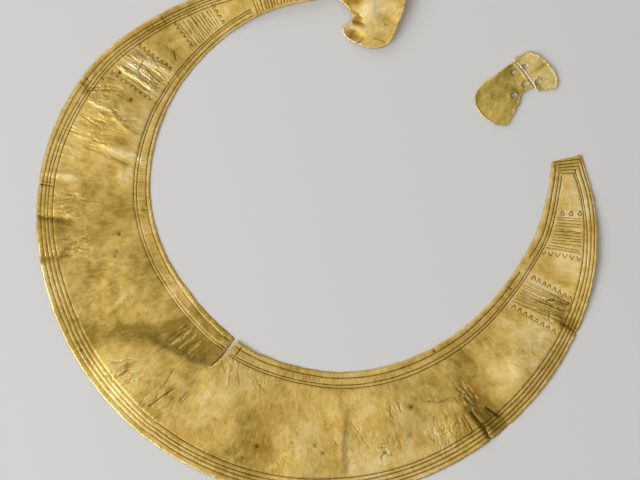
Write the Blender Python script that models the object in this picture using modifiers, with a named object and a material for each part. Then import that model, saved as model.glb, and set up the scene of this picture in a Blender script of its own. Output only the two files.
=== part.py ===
"""A gold lunula lying face up: a thin crescent of hammered sheet with one terminal still on its horn.
The other horn is broken off square, and its terminal lies beside it in two pieces.

Sizes are in millimetres and become metres where a mesh is made. Places on the crescent are read about the
centre of its outer edge: an angle counts from the widest place and grows towards the broken horn."""

import math

import bpy
import numpy as np
from mathutils import Vector, geometry

MM = 0.001

# The crescent lies between two arcs.
SHEET_THICKNESS = 0.35
OUTER_RADIUS = 110.5
INNER_RADIUS = 74.3
INNER_CENTRE_RISE = 15.8
WHOLE_HORN_ANGLE = -148.0
BROKEN_HORN_ANGLE = 132.8
EDGE_STEP = 6.0

# How far the outer edge has left its arc for the narrow end of its horn, as (angle, share).
WHOLE_HORN_WIDTH = 10.0
BROKEN_HORN_WIDTH = 12.0
WHOLE_HORN_TAPER = (
    (-148, 1.0), (-132, 0.78), (-120, 0.57), (-108, 0.367),
    (-96, 0.175), (-84, 0.075), (-72, 0.02), (-60, 0.0),
)
BROKEN_HORN_TAPER = (
    (96, 0.0), (105, 0.026), (110, 0.06), (115, 0.13), (120, 0.229), (125, 0.42), (130, 0.754), (133, 1.0),
)
# How far the bent inner edge strays from its arc, as (angle, millimetres outwards).
INNER_STRAY = (
    (-148, -4.1), (-132, -3.3), (-114, -3.0), (-98, -1.9), (-84, -1.0), (-66, -0.1), (-54, -0.2),
    (-42, -0.6), (-30, -1.2), (-12, -0.7), (-4, -0.1), (0, 0.4), (24, 0.4), (36, 0.8), (66, 0.6),
    (84, 1.0), (96, 1.7), (108, 3.3), (114, 4.8), (120, 5.8), (133, 8.6),
)
# The snapped end of the horn, as (share of the width from the inside, millimetres proud of a straight cut).
SNAPPED_END = ((0.08, 0.1), (0.35, 0.0), (0.65, -0.05), (0.88, 0.3), (0.97, -0.1))

# A tear runs in from the inner edge. Left of it a flap droops from a fold, whose line is given as
# (angle, radius).
TEAR_ANGLE = -3.9
TEAR_DEPTH = 14.9
TEAR_GAP = 1.0
TEAR_LEAN = 2.0
TEAR_POINT_COUNT = 4
TEAR_CLEARANCE = 2.5
FLAP_FOLD = ((-27, 86), (-20, 81.5), (-12, 77.5), (-6, 74.6), (-4, 74))
FLAP_START = -27.0
FLAP_DROOP = 2.2
FLAP_EDGE_REACH = 3.0
FLAP_SIDE_REACH = 9.0

# Engraved lines along both edges, in from each edge, and groups of lines across the horns.
GROOVE_DEPTH = 0.12
GROOVE_REACH = 0.7
OUTER_LINES = (1.9, 3.5, 4.9, 6.4)
INNER_LINES = (2.0, 5.0, 6.4)
OUTER_LINE_SHARE = ((-148, 0.85), (-110, 0.9), (-60, 0.95), (0, 1.06), (60, 1.06), (105, 0.89), (133, 0.64))
INNER_LINE_SHARE = ((-148, 0.6), (-110, 0.65), (-85, 0.85), (-60, 1.0), (60, 1.0), (105, 0.9), (133, 0.65))
CROSS_LINE_PITCH = 1.15
# The angle of each group's middle, and its number of lines.
CROSS_LINE_ANGLES = (-137.6, -118.2, -99.0, 98.6, 115.2)
CROSS_LINE_COUNTS = (13, 11, 10, 10, 12)
END_LINE_COUNT = 5
END_LINE_START = 0.3

# The whole terminal, in its own frame: along the horn's direction, then outwards, from the middle of the
# horn's end.
TERMINAL_THICKNESS = 0.75
NECK_LENGTH = 12.0
TERMINAL_OUTLINE = (
    (2.6, 5.5), (7.3, 5.8), (11.5, 3.5), (14.7, 1.2), (16.5, 2.1), (17.4, 4.8), (19.1, 8.3), (22.3, 11.3),
    (26.7, 12.7), (31.3, 11.0), (34.7, 7.0), (36.8, 1.0), (37.1, -4.1), (35.4, -10.8), (33.5, -14.9),
    (30.5, -21.2), (29.1, -22.9), (26.5, -24.2), (21.7, -24.1), (16.9, -22.3), (14.2, -20.8), (12.1, -18.7),
    (11.2, -16.6), (12.0, -14.6), (13.9, -14.6), (15.1, -13.2), (15.2, -10.4), (12.6, -6.9), (9.9, -4.7),
    (6.2, -2.8), (3.0, -4.2),
)
TERMINAL_SLOPE = 0.11
TERMINAL_TILT = 0.04
HORN_RISE = 3.6
HORN_RISE_FROM = -118.0

# The snapped-off terminal: two flat pieces, each outline about its own middle.
FRAGMENT_THICKNESS = 0.8
HOLE_DIAMETER = 1.8
HOLE_SIDE_COUNT = 12
LARGE_PLACE = (153.9, 83.7)
LARGE_OUTLINE = (
    (6.2, 12.8), (7.5, 11.5), (9.5, 9.1), (11.3, 6.7), (12.5, 4.8), (13.9, 2.8), (11.6, 1.7),
    (9.2, -0.1), (8.6, -2.1), (8.2, -4.3), (6.4, -5.7), (7.0, -6.2), (5.2, -9.3), (3.9, -11.7),
    (2.1, -12.1), (-0.8, -11.7), (-4.3, -9.7), (-7.5, -6.5), (-8.9, -3.3), (-8.9, -0.5), (-7.9, 1.9),
    (-5.5, 4.7), (-3.1, 6.4), (-0.9, 7.8), (1.2, 9.6), (3.6, 11.2),
)
LARGE_HOLES = ((6.1, 8.7), (10.4, 4.1), (6.0, -0.2))
SMALL_PLACE = (153.0, 101.5)
SMALL_OUTLINE = (
    (-9.1, 6.0), (-9.6, 5.1), (-8.2, 3.9), (-6.6, 1.9), (-4.6, -0.5), (-3.0, -2.8), (-1.2, -5.6),
    (-0.7, -6.8), (1.2, -7.1), (4.0, -6.9), (6.4, -6.5), (7.5, -5.5), (7.8, -3.1), (7.1, -0.7),
    (5.5, 2.0), (3.2, 4.6), (0.0, 7.0), (-3.2, 8.2), (-5.6, 7.6), (-7.6, 6.5),
)
SMALL_HOLES = ((-5.0, 2.4), (-0.2, -3.6))
FRAGMENT_TURN = 30.0

# How the sheet lies, as (angle, radius, half length, half width, degrees from the radius, height).
# Where the sum stays below the sheet's slack, the sheet rests flat.
SLACK = 0.45
SWELLS = (
    (-128, 90, 16, 16, 0, 0.9), (-118, 114, 14, 24, 0, 1.3), (-86, 88, 20, 17, 70, 2.1),
    (-58, 96, 16, 12, 20, 1.0), (-45, 118, 18, 36, 0, 1.8), (-42, 76, 16, 12, 80, 1.2),
    (-17, 95, 15, 15, 0, 1.6), (-2, 70, 15, 17, 0, 1.9), (10, 118, 16, 24, 0, 1.2),
    (26, 96, 13, 12, 0, 1.5), (50, 82, 20, 14, 80, 1.8), (83, 100, 14, 12, 60, 1.6),
    (112, 118, 20, 30, 0, 3.0),
)
# Folds: half width on the left and on the right of a path, height, path of (angle, radius) points.
FOLDS = (
    (5.5, 15.0, 1.1, ((-30, 101), (-26, 92), (-23, 85), (-18, 81), (-12, 78.5), (-7, 77))),
    (9.0, 3.6, 1.3, ((67.2, 113), (67.4, 104), (67.2, 95), (68.6, 89))),
    (2.6, 2.6, -0.9, ((71.6, 110.5), (71.3, 103), (70.4, 95))),
    (5.0, 2.0, 0.55, ((34.9, 104), (35.2, 92), (36.4, 80), (37.4, 74))),
    (3.2, 1.2, -0.8, ((-59.9, 111), (-59.3, 104), (-58.6, 98))),
    (2.5, 1.0, 0.65, ((-99.4, 98), (-100.7, 93), (-103, 84), (-104, 80))),
    (2.4, 3.2, 0.4, ((-50, 80.5), (-45, 84.5), (-41, 88))),
    (3.0, 5.0, 0.4, ((6, 82), (8.5, 88), (10, 97), (9.5, 103))),
)
# A fold stands full over its middle and fades over this share of its length, from a first small step.
FOLD_FADE_SHARE = 0.25
FOLD_FIRST_STEP = 0.35


def clear_scene():
    for obj in list(bpy.data.objects):
        bpy.data.objects.remove(obj)


def read_off(stations, place):
    """The value at one place on a smooth curve through (place, value) stations."""
    if place <= stations[0][0]:
        return stations[0][1]
    if place >= stations[-1][0]:
        return stations[-1][1]
    after = next(i for i, station in enumerate(stations) if station[0] > place)
    before = after - 1

    def slope(i):
        low = max(i - 1, 0)
        high = min(i + 1, len(stations) - 1)
        return (stations[high][1] - stations[low][1]) / (stations[high][0] - stations[low][0])

    span = stations[after][0] - stations[before][0]
    t = (place - stations[before][0]) / span
    start, end = stations[before][1], stations[after][1]
    return (
        (2 * t ** 3 - 3 * t ** 2 + 1) * start
        + (t ** 3 - 2 * t ** 2 + t) * span * slope(before)
        + (3 * t ** 2 - 2 * t ** 3) * end
        + (t ** 3 - t ** 2) * span * slope(after)
    )


def eased(share):
    share = min(max(share, 0.0), 1.0)
    return share * share * (3 - 2 * share)


def polar(angle, radius):
    turn = math.radians(angle)
    return Vector((radius * math.sin(turn), -radius * math.cos(turn)))


def inner_edge(angle):
    turn = math.radians(angle)
    aside = INNER_CENTRE_RISE * math.sin(turn)
    arc = math.sqrt(INNER_RADIUS ** 2 - aside ** 2) - INNER_CENTRE_RISE * math.cos(turn)
    return arc + read_off(INNER_STRAY, angle)


def outer_edge(angle):
    """The radius of the outer edge: an arc, which draws in to the width of each horn's end."""
    taper = read_off(WHOLE_HORN_TAPER if angle < 0 else BROKEN_HORN_TAPER, angle)
    width = WHOLE_HORN_WIDTH if angle < 0 else BROKEN_HORN_WIDTH
    return OUTER_RADIUS + taper * (inner_edge(angle) + width - OUTER_RADIUS)


def spread(start, end, radius, step):
    """Evenly spaced angles from start to end, about step apart at that radius."""
    count = max(2, round(abs(math.radians(end - start)) * radius / step) + 1)
    return [start + (end - start) * i / (count - 1) for i in range(count)]


def tear_point(depth, side):
    """A point on the tear's edge, on its left (-1) or right (1) lip, or on its middle line (0)."""
    share = depth / TEAR_DEPTH
    angle = TEAR_ANGLE - TEAR_LEAN * share ** 2
    middle = polar(angle, inner_edge(TEAR_ANGLE) + depth)
    across = polar(angle + 90, 1.0)
    return middle + across * side * TEAR_GAP / 2 * (1 - share)


def tear_outline():
    depths = [TEAR_DEPTH * i / TEAR_POINT_COUNT for i in range(TEAR_POINT_COUNT)]
    left = [tear_point(depth, -1) for depth in depths]
    right = [tear_point(depth, 1) for depth in reversed(depths)]
    return left + [tear_point(TEAR_DEPTH, 0)] + right


def terminal_frame():
    """The middle of the whole horn's end, with the directions along the horn and outwards."""
    middle = (outer_edge(WHOLE_HORN_ANGLE) + inner_edge(WHOLE_HORN_ANGLE)) / 2
    outwards = polar(WHOLE_HORN_ANGLE, 1.0)
    along = polar(WHOLE_HORN_ANGLE - 90, 1.0)
    return polar(WHOLE_HORN_ANGLE, middle), along, outwards


def terminal_outline():
    middle, along, outwards = terminal_frame()
    return [middle + along * u + outwards * v for u, v in TERMINAL_OUTLINE]


def snapped_end():
    inside = polar(BROKEN_HORN_ANGLE, inner_edge(BROKEN_HORN_ANGLE))
    outside = polar(BROKEN_HORN_ANGLE, outer_edge(BROKEN_HORN_ANGLE))
    onwards = polar(BROKEN_HORN_ANGLE + 90, 1.0)
    return [inside.lerp(outside, share) + onwards * proud for share, proud in SNAPPED_END]


def sheet_outline():
    """The edge of the crescent and its terminal, once round."""
    outer = spread(BROKEN_HORN_ANGLE, WHOLE_HORN_ANGLE, OUTER_RADIUS, EDGE_STEP)
    inner = spread(WHOLE_HORN_ANGLE, BROKEN_HORN_ANGLE, INNER_RADIUS, EDGE_STEP)
    clear = math.degrees(TEAR_GAP / inner_edge(TEAR_ANGLE)) + 0.5
    before = [angle for angle in inner if angle < TEAR_ANGLE - clear]
    after = [angle for angle in inner if angle > TEAR_ANGLE + clear]
    points = [polar(angle, outer_edge(angle)) for angle in outer]
    points += terminal_outline()
    points += [polar(angle, inner_edge(angle)) for angle in before]
    points += tear_outline()
    points += [polar(angle, inner_edge(angle)) for angle in after]
    return points + snapped_end()


def swell(point, rows):
    """The sum of soft ridges and hollows at a point."""
    total = 0.0
    for angle, radius, half_length, half_width, lean, height in rows:
        offset = point - polar(angle, radius)
        lengthways = offset.dot(polar(angle + lean, 1.0)) / half_length
        crossways = offset.dot(polar(angle + lean + 90, 1.0)) / half_width
        total += height * math.exp(-(lengthways ** 2) - crossways ** 2)
    return total


def angle_of(point):
    return math.degrees(math.atan2(point.x, -point.y))


def flap_droop(point):
    """How far the flap has sunk from its fold at a point; nothing right of the tear."""
    angle = angle_of(point)
    depth = min(max(point.length - inner_edge(TEAR_ANGLE), 0.0), TEAR_DEPTH)
    aside = (point - tear_point(depth, 0)).dot(polar(TEAR_ANGLE - 90, 1.0))
    if aside < 0 or angle > 0:
        return 0.0
    fold = read_off(FLAP_FOLD, angle)
    below = fold - point.length
    share = eased(below / FLAP_EDGE_REACH) * eased((angle - FLAP_START) / FLAP_SIDE_REACH)
    return FLAP_DROOP * min(max(below / (fold - inner_edge(angle)), 0.0), 1.0) * share


def fold_height(point, fold):
    """How high a fold stands at a point; it fades out towards both of its ends."""
    left_width, right_width, height, places = fold
    path = [polar(*place) for place in places]
    nearest = math.inf
    for i, (start, end) in enumerate(zip(path, path[1:])):
        span = end - start
        share = min(max((point - start).dot(span) / span.length_squared, 0.0), 1.0)
        offset = point - start - span * share
        if offset.length < nearest:
            nearest = offset.length
            along = (i + share) / (len(path) - 1)
            side = span.cross(point - start) / (span.length * max(nearest, 1e-6))
    side = min(max(side, -1.0), 1.0)
    half_width = (left_width + right_width + (left_width - right_width) * side) / 2
    fade = eased(along / FOLD_FADE_SHARE + FOLD_FIRST_STEP)
    fade *= eased((1 - along) / FOLD_FADE_SHARE + FOLD_FIRST_STEP)
    return height * math.exp(-((nearest / half_width) ** 2)) * fade


def on_terminal(point):
    """0 on the crescent and 1 on the terminal, changing over the neck."""
    middle, along, _ = terminal_frame()
    if angle_of(point) > WHOLE_HORN_ANGLE:
        return 0.0
    return eased((point - middle).dot(along) / NECK_LENGTH)


def underside(point):
    """The height of the sheet's underside above what it lies on."""
    slack = swell(point, SWELLS) + sum(fold_height(point, fold) for fold in FOLDS) - flap_droop(point) - SLACK
    rest = slack * slack / (slack + SLACK) if slack > 0 else 0.0
    rise = HORN_RISE * eased((angle_of(point) - HORN_RISE_FROM) / (WHOLE_HORN_ANGLE - HORN_RISE_FROM))
    middle, along, outwards = terminal_frame()
    on_plate = HORN_RISE + (point - middle).dot(TERMINAL_SLOPE * outwards + TERMINAL_TILT * along)
    share = on_terminal(point)
    return (1 - share) * (rest + rise) + share * on_plate


def grooved(lines):
    """(offset, depth) across a set of engraved lines, with the ridges between them at no depth."""
    rows = []
    for i, line in enumerate(lines):
        before = (line - lines[i - 1]) / 2 if i else GROOVE_REACH
        rows.append((line - min(before, GROOVE_REACH), 0.0))
        rows.append((line, GROOVE_DEPTH))
        if i == len(lines) - 1 or lines[i + 1] - line > 2 * GROOVE_REACH:
            rows.append((line + GROOVE_REACH, 0.0))
    return rows


def border_lines():
    """The engraved lines along both edges, each as a run of (point, depth)."""
    runs = []
    end = BROKEN_HORN_ANGLE - math.degrees((END_LINE_COUNT + 1) * CROSS_LINE_PITCH / OUTER_RADIUS)
    outer = spread(end, WHOLE_HORN_ANGLE + 1, OUTER_RADIUS, EDGE_STEP)
    for offset, depth in grooved(OUTER_LINES):
        places = [(angle, outer_edge(angle) - offset * read_off(OUTER_LINE_SHARE, angle)) for angle in outer]
        runs.append([(polar(*place), depth) for place in places])
    inner = spread(WHOLE_HORN_ANGLE + 1, end, INNER_RADIUS, EDGE_STEP)
    gap = math.degrees(TEAR_CLEARANCE * TEAR_GAP / inner_edge(TEAR_ANGLE))
    sides = ([a for a in inner if a < TEAR_ANGLE - gap], [a for a in inner if a > TEAR_ANGLE + gap])
    for offset, depth in grooved(INNER_LINES):
        for side in sides:
            places = [(a, inner_edge(a) + offset * read_off(INNER_LINE_SHARE, a)) for a in side]
            runs.append([(polar(*place), depth) for place in places])
    return runs


def panel(angle):
    """The radii between which the plain field lies, inside both borders."""
    inside = inner_edge(angle) + (INNER_LINES[-1] + 2 * GROOVE_REACH) * read_off(INNER_LINE_SHARE, angle)
    outside = outer_edge(angle) - (OUTER_LINES[-1] + 2 * GROOVE_REACH) * read_off(OUTER_LINE_SHARE, angle)
    return inside, outside


def cross_lines():
    """The groups of engraved lines across the horns, each line a run of (point, depth)."""
    runs = []
    for middle, count in zip(CROSS_LINE_ANGLES, CROSS_LINE_COUNTS):
        radius = sum(panel(middle)) / 2
        for i in range(2 * count + 1):
            angle = middle + math.degrees((i - count) * CROSS_LINE_PITCH / 2 / radius)
            inside, outside = panel(angle)
            depth = GROOVE_DEPTH if i % 2 else 0.0
            radii = np.linspace(inside, outside, 4)
            runs.append([(polar(angle, r), depth) for r in radii])
    return runs


def end_lines():
    """The short engraved lines along the snapped end."""
    runs = []
    inside = inner_edge(BROKEN_HORN_ANGLE) + INNER_LINES[0]
    outside = outer_edge(BROKEN_HORN_ANGLE) - GROOVE_REACH
    for i in range(2 * END_LINE_COUNT + 1):
        back = CROSS_LINE_PITCH * (END_LINE_START + i / 2)
        angle = BROKEN_HORN_ANGLE - math.degrees(back / OUTER_RADIUS)
        depth = GROOVE_DEPTH if i % 2 else 0.0
        runs.append([(polar(angle, inside), depth), (polar(angle, outside), depth)])
    return runs


def in_field(point):
    """Whether a point lies on the plain field, clear of both borders and of the groups of lines."""
    angle = angle_of(point)
    inside, outside = panel(angle)
    for middle, count in zip(CROSS_LINE_ANGLES, CROSS_LINE_COUNTS):
        if abs(angle - middle) < math.degrees((count / 2 + 1.5) * CROSS_LINE_PITCH / inner_edge(middle)):
            return False
    return inside < point.length < outside


def grid_points():
    """Points spread evenly over the crescent."""
    angles = spread(WHOLE_HORN_ANGLE + 1, BROKEN_HORN_ANGLE - 5, (OUTER_RADIUS + INNER_RADIUS) / 2, EDGE_STEP)
    points = []
    for row, angle in enumerate(angles):
        inside, outside = panel(angle)
        count = round((outside - inside) / EDGE_STEP)
        shift = 0.25 if row % 2 else -0.25
        points += [polar(angle, inside + (outside - inside) * (i + shift) / count) for i in range(1, count)]
    return points


def fold_points():
    """Points along the crest and along both feet of every fold."""
    points = []
    for left_width, right_width, _, places in FOLDS:
        path = [polar(*place) for place in places]
        for start, end in zip(path, path[1:]):
            leftwards = (end - start).orthogonal().normalized()
            for shift in (left_width, 0.0, -right_width):
                points.append(start.lerp(end, 0.5) + leftwards * shift)
    return points


def field_points():
    """Points over the plain field, clear of the tear's tip."""
    tip = tear_point(TEAR_DEPTH, 0)
    return [p for p in grid_points() + fold_points() if in_field(p) and (p - tip).length > TEAR_GAP]


def terminal_points():
    """Points spread over the terminal plate."""
    middle, along, outwards = terminal_frame()
    longest = max(u for u, _ in TERMINAL_OUTLINE)
    ups = [v for _, v in TERMINAL_OUTLINE]
    points = []
    for u in np.arange(EDGE_STEP / 2, longest, EDGE_STEP):
        for v in np.arange(min(ups) + EDGE_STEP / 2, max(ups), EDGE_STEP):
            points.append(middle + along * u + outwards * v)
    return points


def inside_loop(loop, point):
    """Whether a point is inside a closed loop of points."""
    found = False
    for a, b in zip(loop, loop[1:] + loop[:1]):
        if (a.y > point.y) != (b.y > point.y):
            if point.x < a.x + (point.y - a.y) * (b.x - a.x) / (b.y - a.y):
                found = not found
    return found


def near_loop(loop, point, reach):
    return any(
        (geometry.intersect_point_line(point, a, b)[0].xy - point).length < reach
        and -0.01 < geometry.intersect_point_line(point, a, b)[1] < 1.01
        for a, b in zip(loop, loop[1:] + loop[:1])
    )


def triangulated(outline, runs, points):
    """(places, triangles, depths) of the flat plan, with every engraved line as an edge of it."""
    places = list(outline)
    depths = [0.0] * len(outline)
    edges = [(i, (i + 1) % len(outline)) for i in range(len(outline))]
    for run in runs:
        first = len(places)
        places += [place for place, _ in run]
        depths += [depth for _, depth in run]
        edges += [(i, i + 1) for i in range(first, len(places) - 1)]
    clearance = EDGE_STEP / 4
    loose = [p for p in points if inside_loop(outline, p) and not near_loop(outline, p, clearance)]
    places += loose
    depths += [0.0] * len(loose)
    made = geometry.delaunay_2d_cdt(places, edges, [], 0, 1e-4)
    new_places, triangles, sources = made[0], made[2], made[3]
    new_depths = [max((depths[i] for i in source), default=0.0) for source in sources]
    kept = [t for t in triangles if inside_loop(outline, sum((new_places[i] for i in t), Vector((0, 0))) / 3)]
    return new_places, kept, new_depths


def open_sheet(places, triangles):
    """The underside of the sheet as an open mesh."""
    used = sorted({i for triangle in triangles for i in triangle})
    index = {old: new for new, old in enumerate(used)}
    corners = [(places[i].x * MM, places[i].y * MM, underside(places[i]) * MM) for i in used]
    faces = [tuple(index[i] for i in triangle) for triangle in triangles]
    mesh = bpy.data.meshes.new("lunula_sheet")
    mesh.from_pydata(corners, [], faces)
    mesh.validate()
    return mesh, used


def thickened(obj, thickness):
    """Gives the open sheet its thickness upwards: each point of the plain mesh has a second one over it."""
    solidify = obj.modifiers.new("thickness", "SOLIDIFY")
    solidify.thickness = thickness * MM
    solidify.offset = 1.0
    solidify.use_even_offset = False
    bpy.context.view_layer.update()
    solid = bpy.data.meshes.new_from_object(obj.evaluated_get(bpy.context.evaluated_depsgraph_get()))
    obj.modifiers.clear()
    obj.data = solid


def carve_top(obj, places, used, depths):
    """Sinks the engraved lines into the top, and makes the terminal thicker than the sheet."""
    count = len(used)
    for i, old in enumerate(used):
        pair = (obj.data.vertices[i], obj.data.vertices[count + i])
        top = max(pair, key=lambda vertex: vertex.co.z)
        extra = (TERMINAL_THICKNESS - SHEET_THICKNESS) * on_terminal(places[old])
        top.co.z += (extra - depths[old]) * MM


def gold(name, colour, roughness):
    """Bare gold: a metal with the colour of its own piece."""
    material = bpy.data.materials.new(name)
    material.use_nodes = True
    shader = material.node_tree.nodes["Principled BSDF"]
    shader.inputs["Base Color"].default_value = (*colour, 1.0)
    shader.inputs["Metallic"].default_value = 1.0
    shader.inputs["Roughness"].default_value = roughness
    return material


def make_sheet(parts, centre):
    runs = border_lines() + cross_lines() + end_lines()
    places, triangles, depths = triangulated(sheet_outline(), runs, field_points() + terminal_points())
    mesh, used = open_sheet(places, triangles)
    sheet = bpy.data.objects.new("lunula_sheet", mesh)
    parts.objects.link(sheet)
    thickened(sheet, SHEET_THICKNESS)
    carve_top(sheet, places, used, depths)
    sheet.data.materials.append(gold("hammered_gold_sheet", (0.70, 0.49, 0.17), 0.32))
    sheet.parent = centre
    return sheet


def loop_spline(curve, points):
    spline = curve.splines.new("POLY")
    spline.points.add(len(points) - 1)
    for spot, (x, y) in zip(spline.points, points):
        spot.co = (x * MM, y * MM, 0, 1)
    spline.use_cyclic_u = True


def hole_points(middle):
    radius = HOLE_DIAMETER / 2
    turns = [2 * math.pi * i / HOLE_SIDE_COUNT for i in range(HOLE_SIDE_COUNT)]
    return [(middle[0] + radius * math.cos(t), middle[1] + radius * math.sin(t)) for t in turns]


def make_fragment(name, parts, centre, outline, holes, place, material):
    """A flat piece of the snapped-off terminal, with its stitch holes, lying on its back."""
    curve = bpy.data.curves.new(name, "CURVE")
    curve.dimensions = "2D"
    curve.fill_mode = "BOTH"
    curve.extrude = FRAGMENT_THICKNESS / 2 * MM
    loop_spline(curve, outline)
    for hole in holes:
        loop_spline(curve, hole_points(hole))
    curve.materials.append(material)
    fragment = bpy.data.objects.new(name, curve)
    spot = polar(*place)
    fragment.location = (spot.x * MM, spot.y * MM, FRAGMENT_THICKNESS / 2 * MM)
    fragment.rotation_euler.z = math.radians(FRAGMENT_TURN)
    parts.objects.link(fragment)
    fragment.parent = centre
    return fragment


def settle(pieces, centre):
    """Moves everything so that the middle of the whole lies at the origin, with its lowest point at zero."""
    bpy.context.view_layer.update()
    graph = bpy.context.evaluated_depsgraph_get()
    corners = []
    for piece in pieces:
        evaluated = piece.evaluated_get(graph)
        mesh = evaluated.to_mesh()
        corners += [evaluated.matrix_world @ vertex.co for vertex in mesh.vertices]
        evaluated.to_mesh_clear()
    low = [min(corner[i] for corner in corners) for i in range(3)]
    high = [max(corner[i] for corner in corners) for i in range(3)]
    centre.location = (-(low[0] + high[0]) / 2, -(low[1] + high[1]) / 2, -low[2])
    bpy.context.view_layer.update()


def main():
    clear_scene()
    parts = bpy.data.collections.new("lunula")
    bpy.context.scene.collection.children.link(parts)
    centre = bpy.data.objects.new("edge_arc_centre", None)
    parts.objects.link(centre)
    fragment_gold = gold("thick_terminal_gold", (0.66, 0.50, 0.20), 0.38)
    pieces = [make_sheet(parts, centre)]
    for name, outline, holes, place in (
        ("terminal_fragment_large", LARGE_OUTLINE, LARGE_HOLES, LARGE_PLACE),
        ("terminal_fragment_small", SMALL_OUTLINE, SMALL_HOLES, SMALL_PLACE),
    ):
        pieces.append(make_fragment(name, parts, centre, outline, holes, place, fragment_gold))
    settle(pieces, centre)


main()
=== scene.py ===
"""The look of a gold lunula lying face up: hammered sheet with engraved borders, creases, stains and worn rims, with
highlights and shade partly painted into its colour.

Sizes are in millimetres and become metres where a mesh is made. Places on the crescent are read about the centre
of its outer edge: an angle counts from the widest place and grows towards the broken horn."""

import math

import bpy
import numpy as np
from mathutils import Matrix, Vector, geometry, kdtree


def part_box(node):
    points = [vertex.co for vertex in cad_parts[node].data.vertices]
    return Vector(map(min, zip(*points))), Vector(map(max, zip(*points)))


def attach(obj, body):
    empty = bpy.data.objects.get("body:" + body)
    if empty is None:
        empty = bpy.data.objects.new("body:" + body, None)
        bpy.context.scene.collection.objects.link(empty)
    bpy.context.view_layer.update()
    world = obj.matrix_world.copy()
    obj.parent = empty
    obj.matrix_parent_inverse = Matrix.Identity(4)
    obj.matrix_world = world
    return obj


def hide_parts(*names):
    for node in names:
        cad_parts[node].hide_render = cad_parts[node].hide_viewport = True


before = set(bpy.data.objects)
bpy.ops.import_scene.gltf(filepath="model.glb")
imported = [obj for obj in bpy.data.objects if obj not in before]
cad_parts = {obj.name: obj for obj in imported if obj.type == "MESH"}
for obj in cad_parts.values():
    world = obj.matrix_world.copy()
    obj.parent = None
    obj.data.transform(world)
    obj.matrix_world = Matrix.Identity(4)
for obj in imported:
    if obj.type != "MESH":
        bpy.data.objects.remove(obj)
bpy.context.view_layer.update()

MM = 0.001
SEED = 7

# The crescent, as its solid has it.
SHEET_THICKNESS = 0.35
OUTER_RADIUS = 110.5
INNER_RADIUS = 74.3
INNER_CENTRE_RISE = 15.8
WHOLE_HORN_ANGLE = -148.0
BROKEN_HORN_ANGLE = 132.8
WHOLE_HORN_WIDTH = 10.0
BROKEN_HORN_WIDTH = 12.0
WHOLE_HORN_TAPER = (
    (-148, 1.0), (-132, 0.78), (-120, 0.57), (-108, 0.367), (-96, 0.175), (-84, 0.075), (-72, 0.02), (-60, 0.0),
)
BROKEN_HORN_TAPER = (
    (96, 0.0), (105, 0.026), (110, 0.06), (115, 0.13), (120, 0.229), (125, 0.42), (130, 0.754), (133, 1.0),
)
INNER_STRAY = (
    (-148, -4.1), (-132, -3.3), (-114, -3.0), (-98, -1.9), (-84, -1.0), (-66, -0.1), (-54, -0.2),
    (-42, -0.6), (-30, -1.2), (-12, -0.7), (-4, -0.1), (0, 0.4), (24, 0.4), (36, 0.8), (66, 0.6),
    (84, 1.0), (96, 1.7), (108, 3.3), (114, 4.8), (120, 5.8), (133, 8.6),
)
# The snapped end, as (share of the width from the inside, millimetres proud of a straight cut).
SNAPPED_END = (
    (0.03, 0.0), (0.08, 0.1), (0.2, 0.05), (0.35, 0.0), (0.5, 0.05), (0.65, -0.05), (0.78, 0.1), (0.88, 0.3),
    (0.94, 0.25), (0.98, -0.2),
)
TEAR_ANGLE = -3.9
TEAR_DEPTH = 14.9
TEAR_GAP = 1.0
TEAR_LEAN = 2.0
# Left of the tear a flap droops from a fold, whose line is given as (angle, radius) stations.
FLAP_FOLD = ((-27, 86), (-20, 81.5), (-12, 77.5), (-6, 74.6), (-4, 74))
FLAP_START = -27.0
FLAP_DROOP = 2.2
# Nicks in the edges, as (angle, radius, depth, half width).
NICKS = (
    (125.0, 106.4, 0.45, 0.6), (121.8, 107.2, 0.5, 0.7), (119.6, 107.8, 0.3, 0.6), (67.3, 110.5, 0.5, 0.6),
    (95.3, 110.5, 0.5, 0.7), (89.5, 110.5, 0.3, 0.5), (84, 110.5, 0.25, 0.5), (99, 110.3, 0.25, 0.5),
    (-58.9, 110.5, 0.3, 0.6), (-66, 110.5, 0.35, 0.5), (-52, 110.5, 0.2, 0.5), (-138, 82.0, 0.4, 0.5),
    (72, 110.5, 0.3, 0.9), (-93, 106.2, 0.2, 0.5), (104, 80.6, 0.25, 0.8), (-26, 110.5, 0.2, 0.6),
    (86.7, 110.5, 0.3, 0.4), (92.4, 110.5, 0.35, 0.45), (81.2, 110.5, 0.2, 0.4), (102.5, 110.3, 0.25, 0.5),
    (106.5, 109.8, 0.3, 0.5), (78.6, 110.5, 0.2, 0.4),
)

# The terminal that is still in place, from the middle of the horn's end: along the horn, then outwards.
TERMINAL_THICKNESS = 0.75
NECK_LENGTH = 12.0
TERMINAL_OUTLINE = (
    (2.6, 5.5), (7.3, 5.8), (11.5, 3.5), (14.7, 1.2), (16.5, 2.1), (17.4, 4.8), (19.1, 8.3), (22.3, 11.3),
    (26.7, 12.7), (31.3, 11.0), (34.7, 7.0), (36.8, 1.0), (37.1, -4.1), (35.4, -10.8), (33.5, -14.9),
    (30.5, -21.2), (29.1, -22.9), (26.5, -24.2), (21.7, -24.1), (16.9, -22.3), (14.2, -20.8), (12.1, -18.7),
    (11.2, -16.6), (12.0, -14.6), (13.9, -14.6), (15.1, -13.2), (15.2, -10.4), (12.6, -6.9), (9.9, -4.7),
    (6.2, -2.8), (3.0, -4.2),
)
TERMINAL_SLOPE = 0.11
TERMINAL_TILT = 0.04
HORN_RISE = 3.6
HORN_RISE_FROM = -118.0

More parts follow.
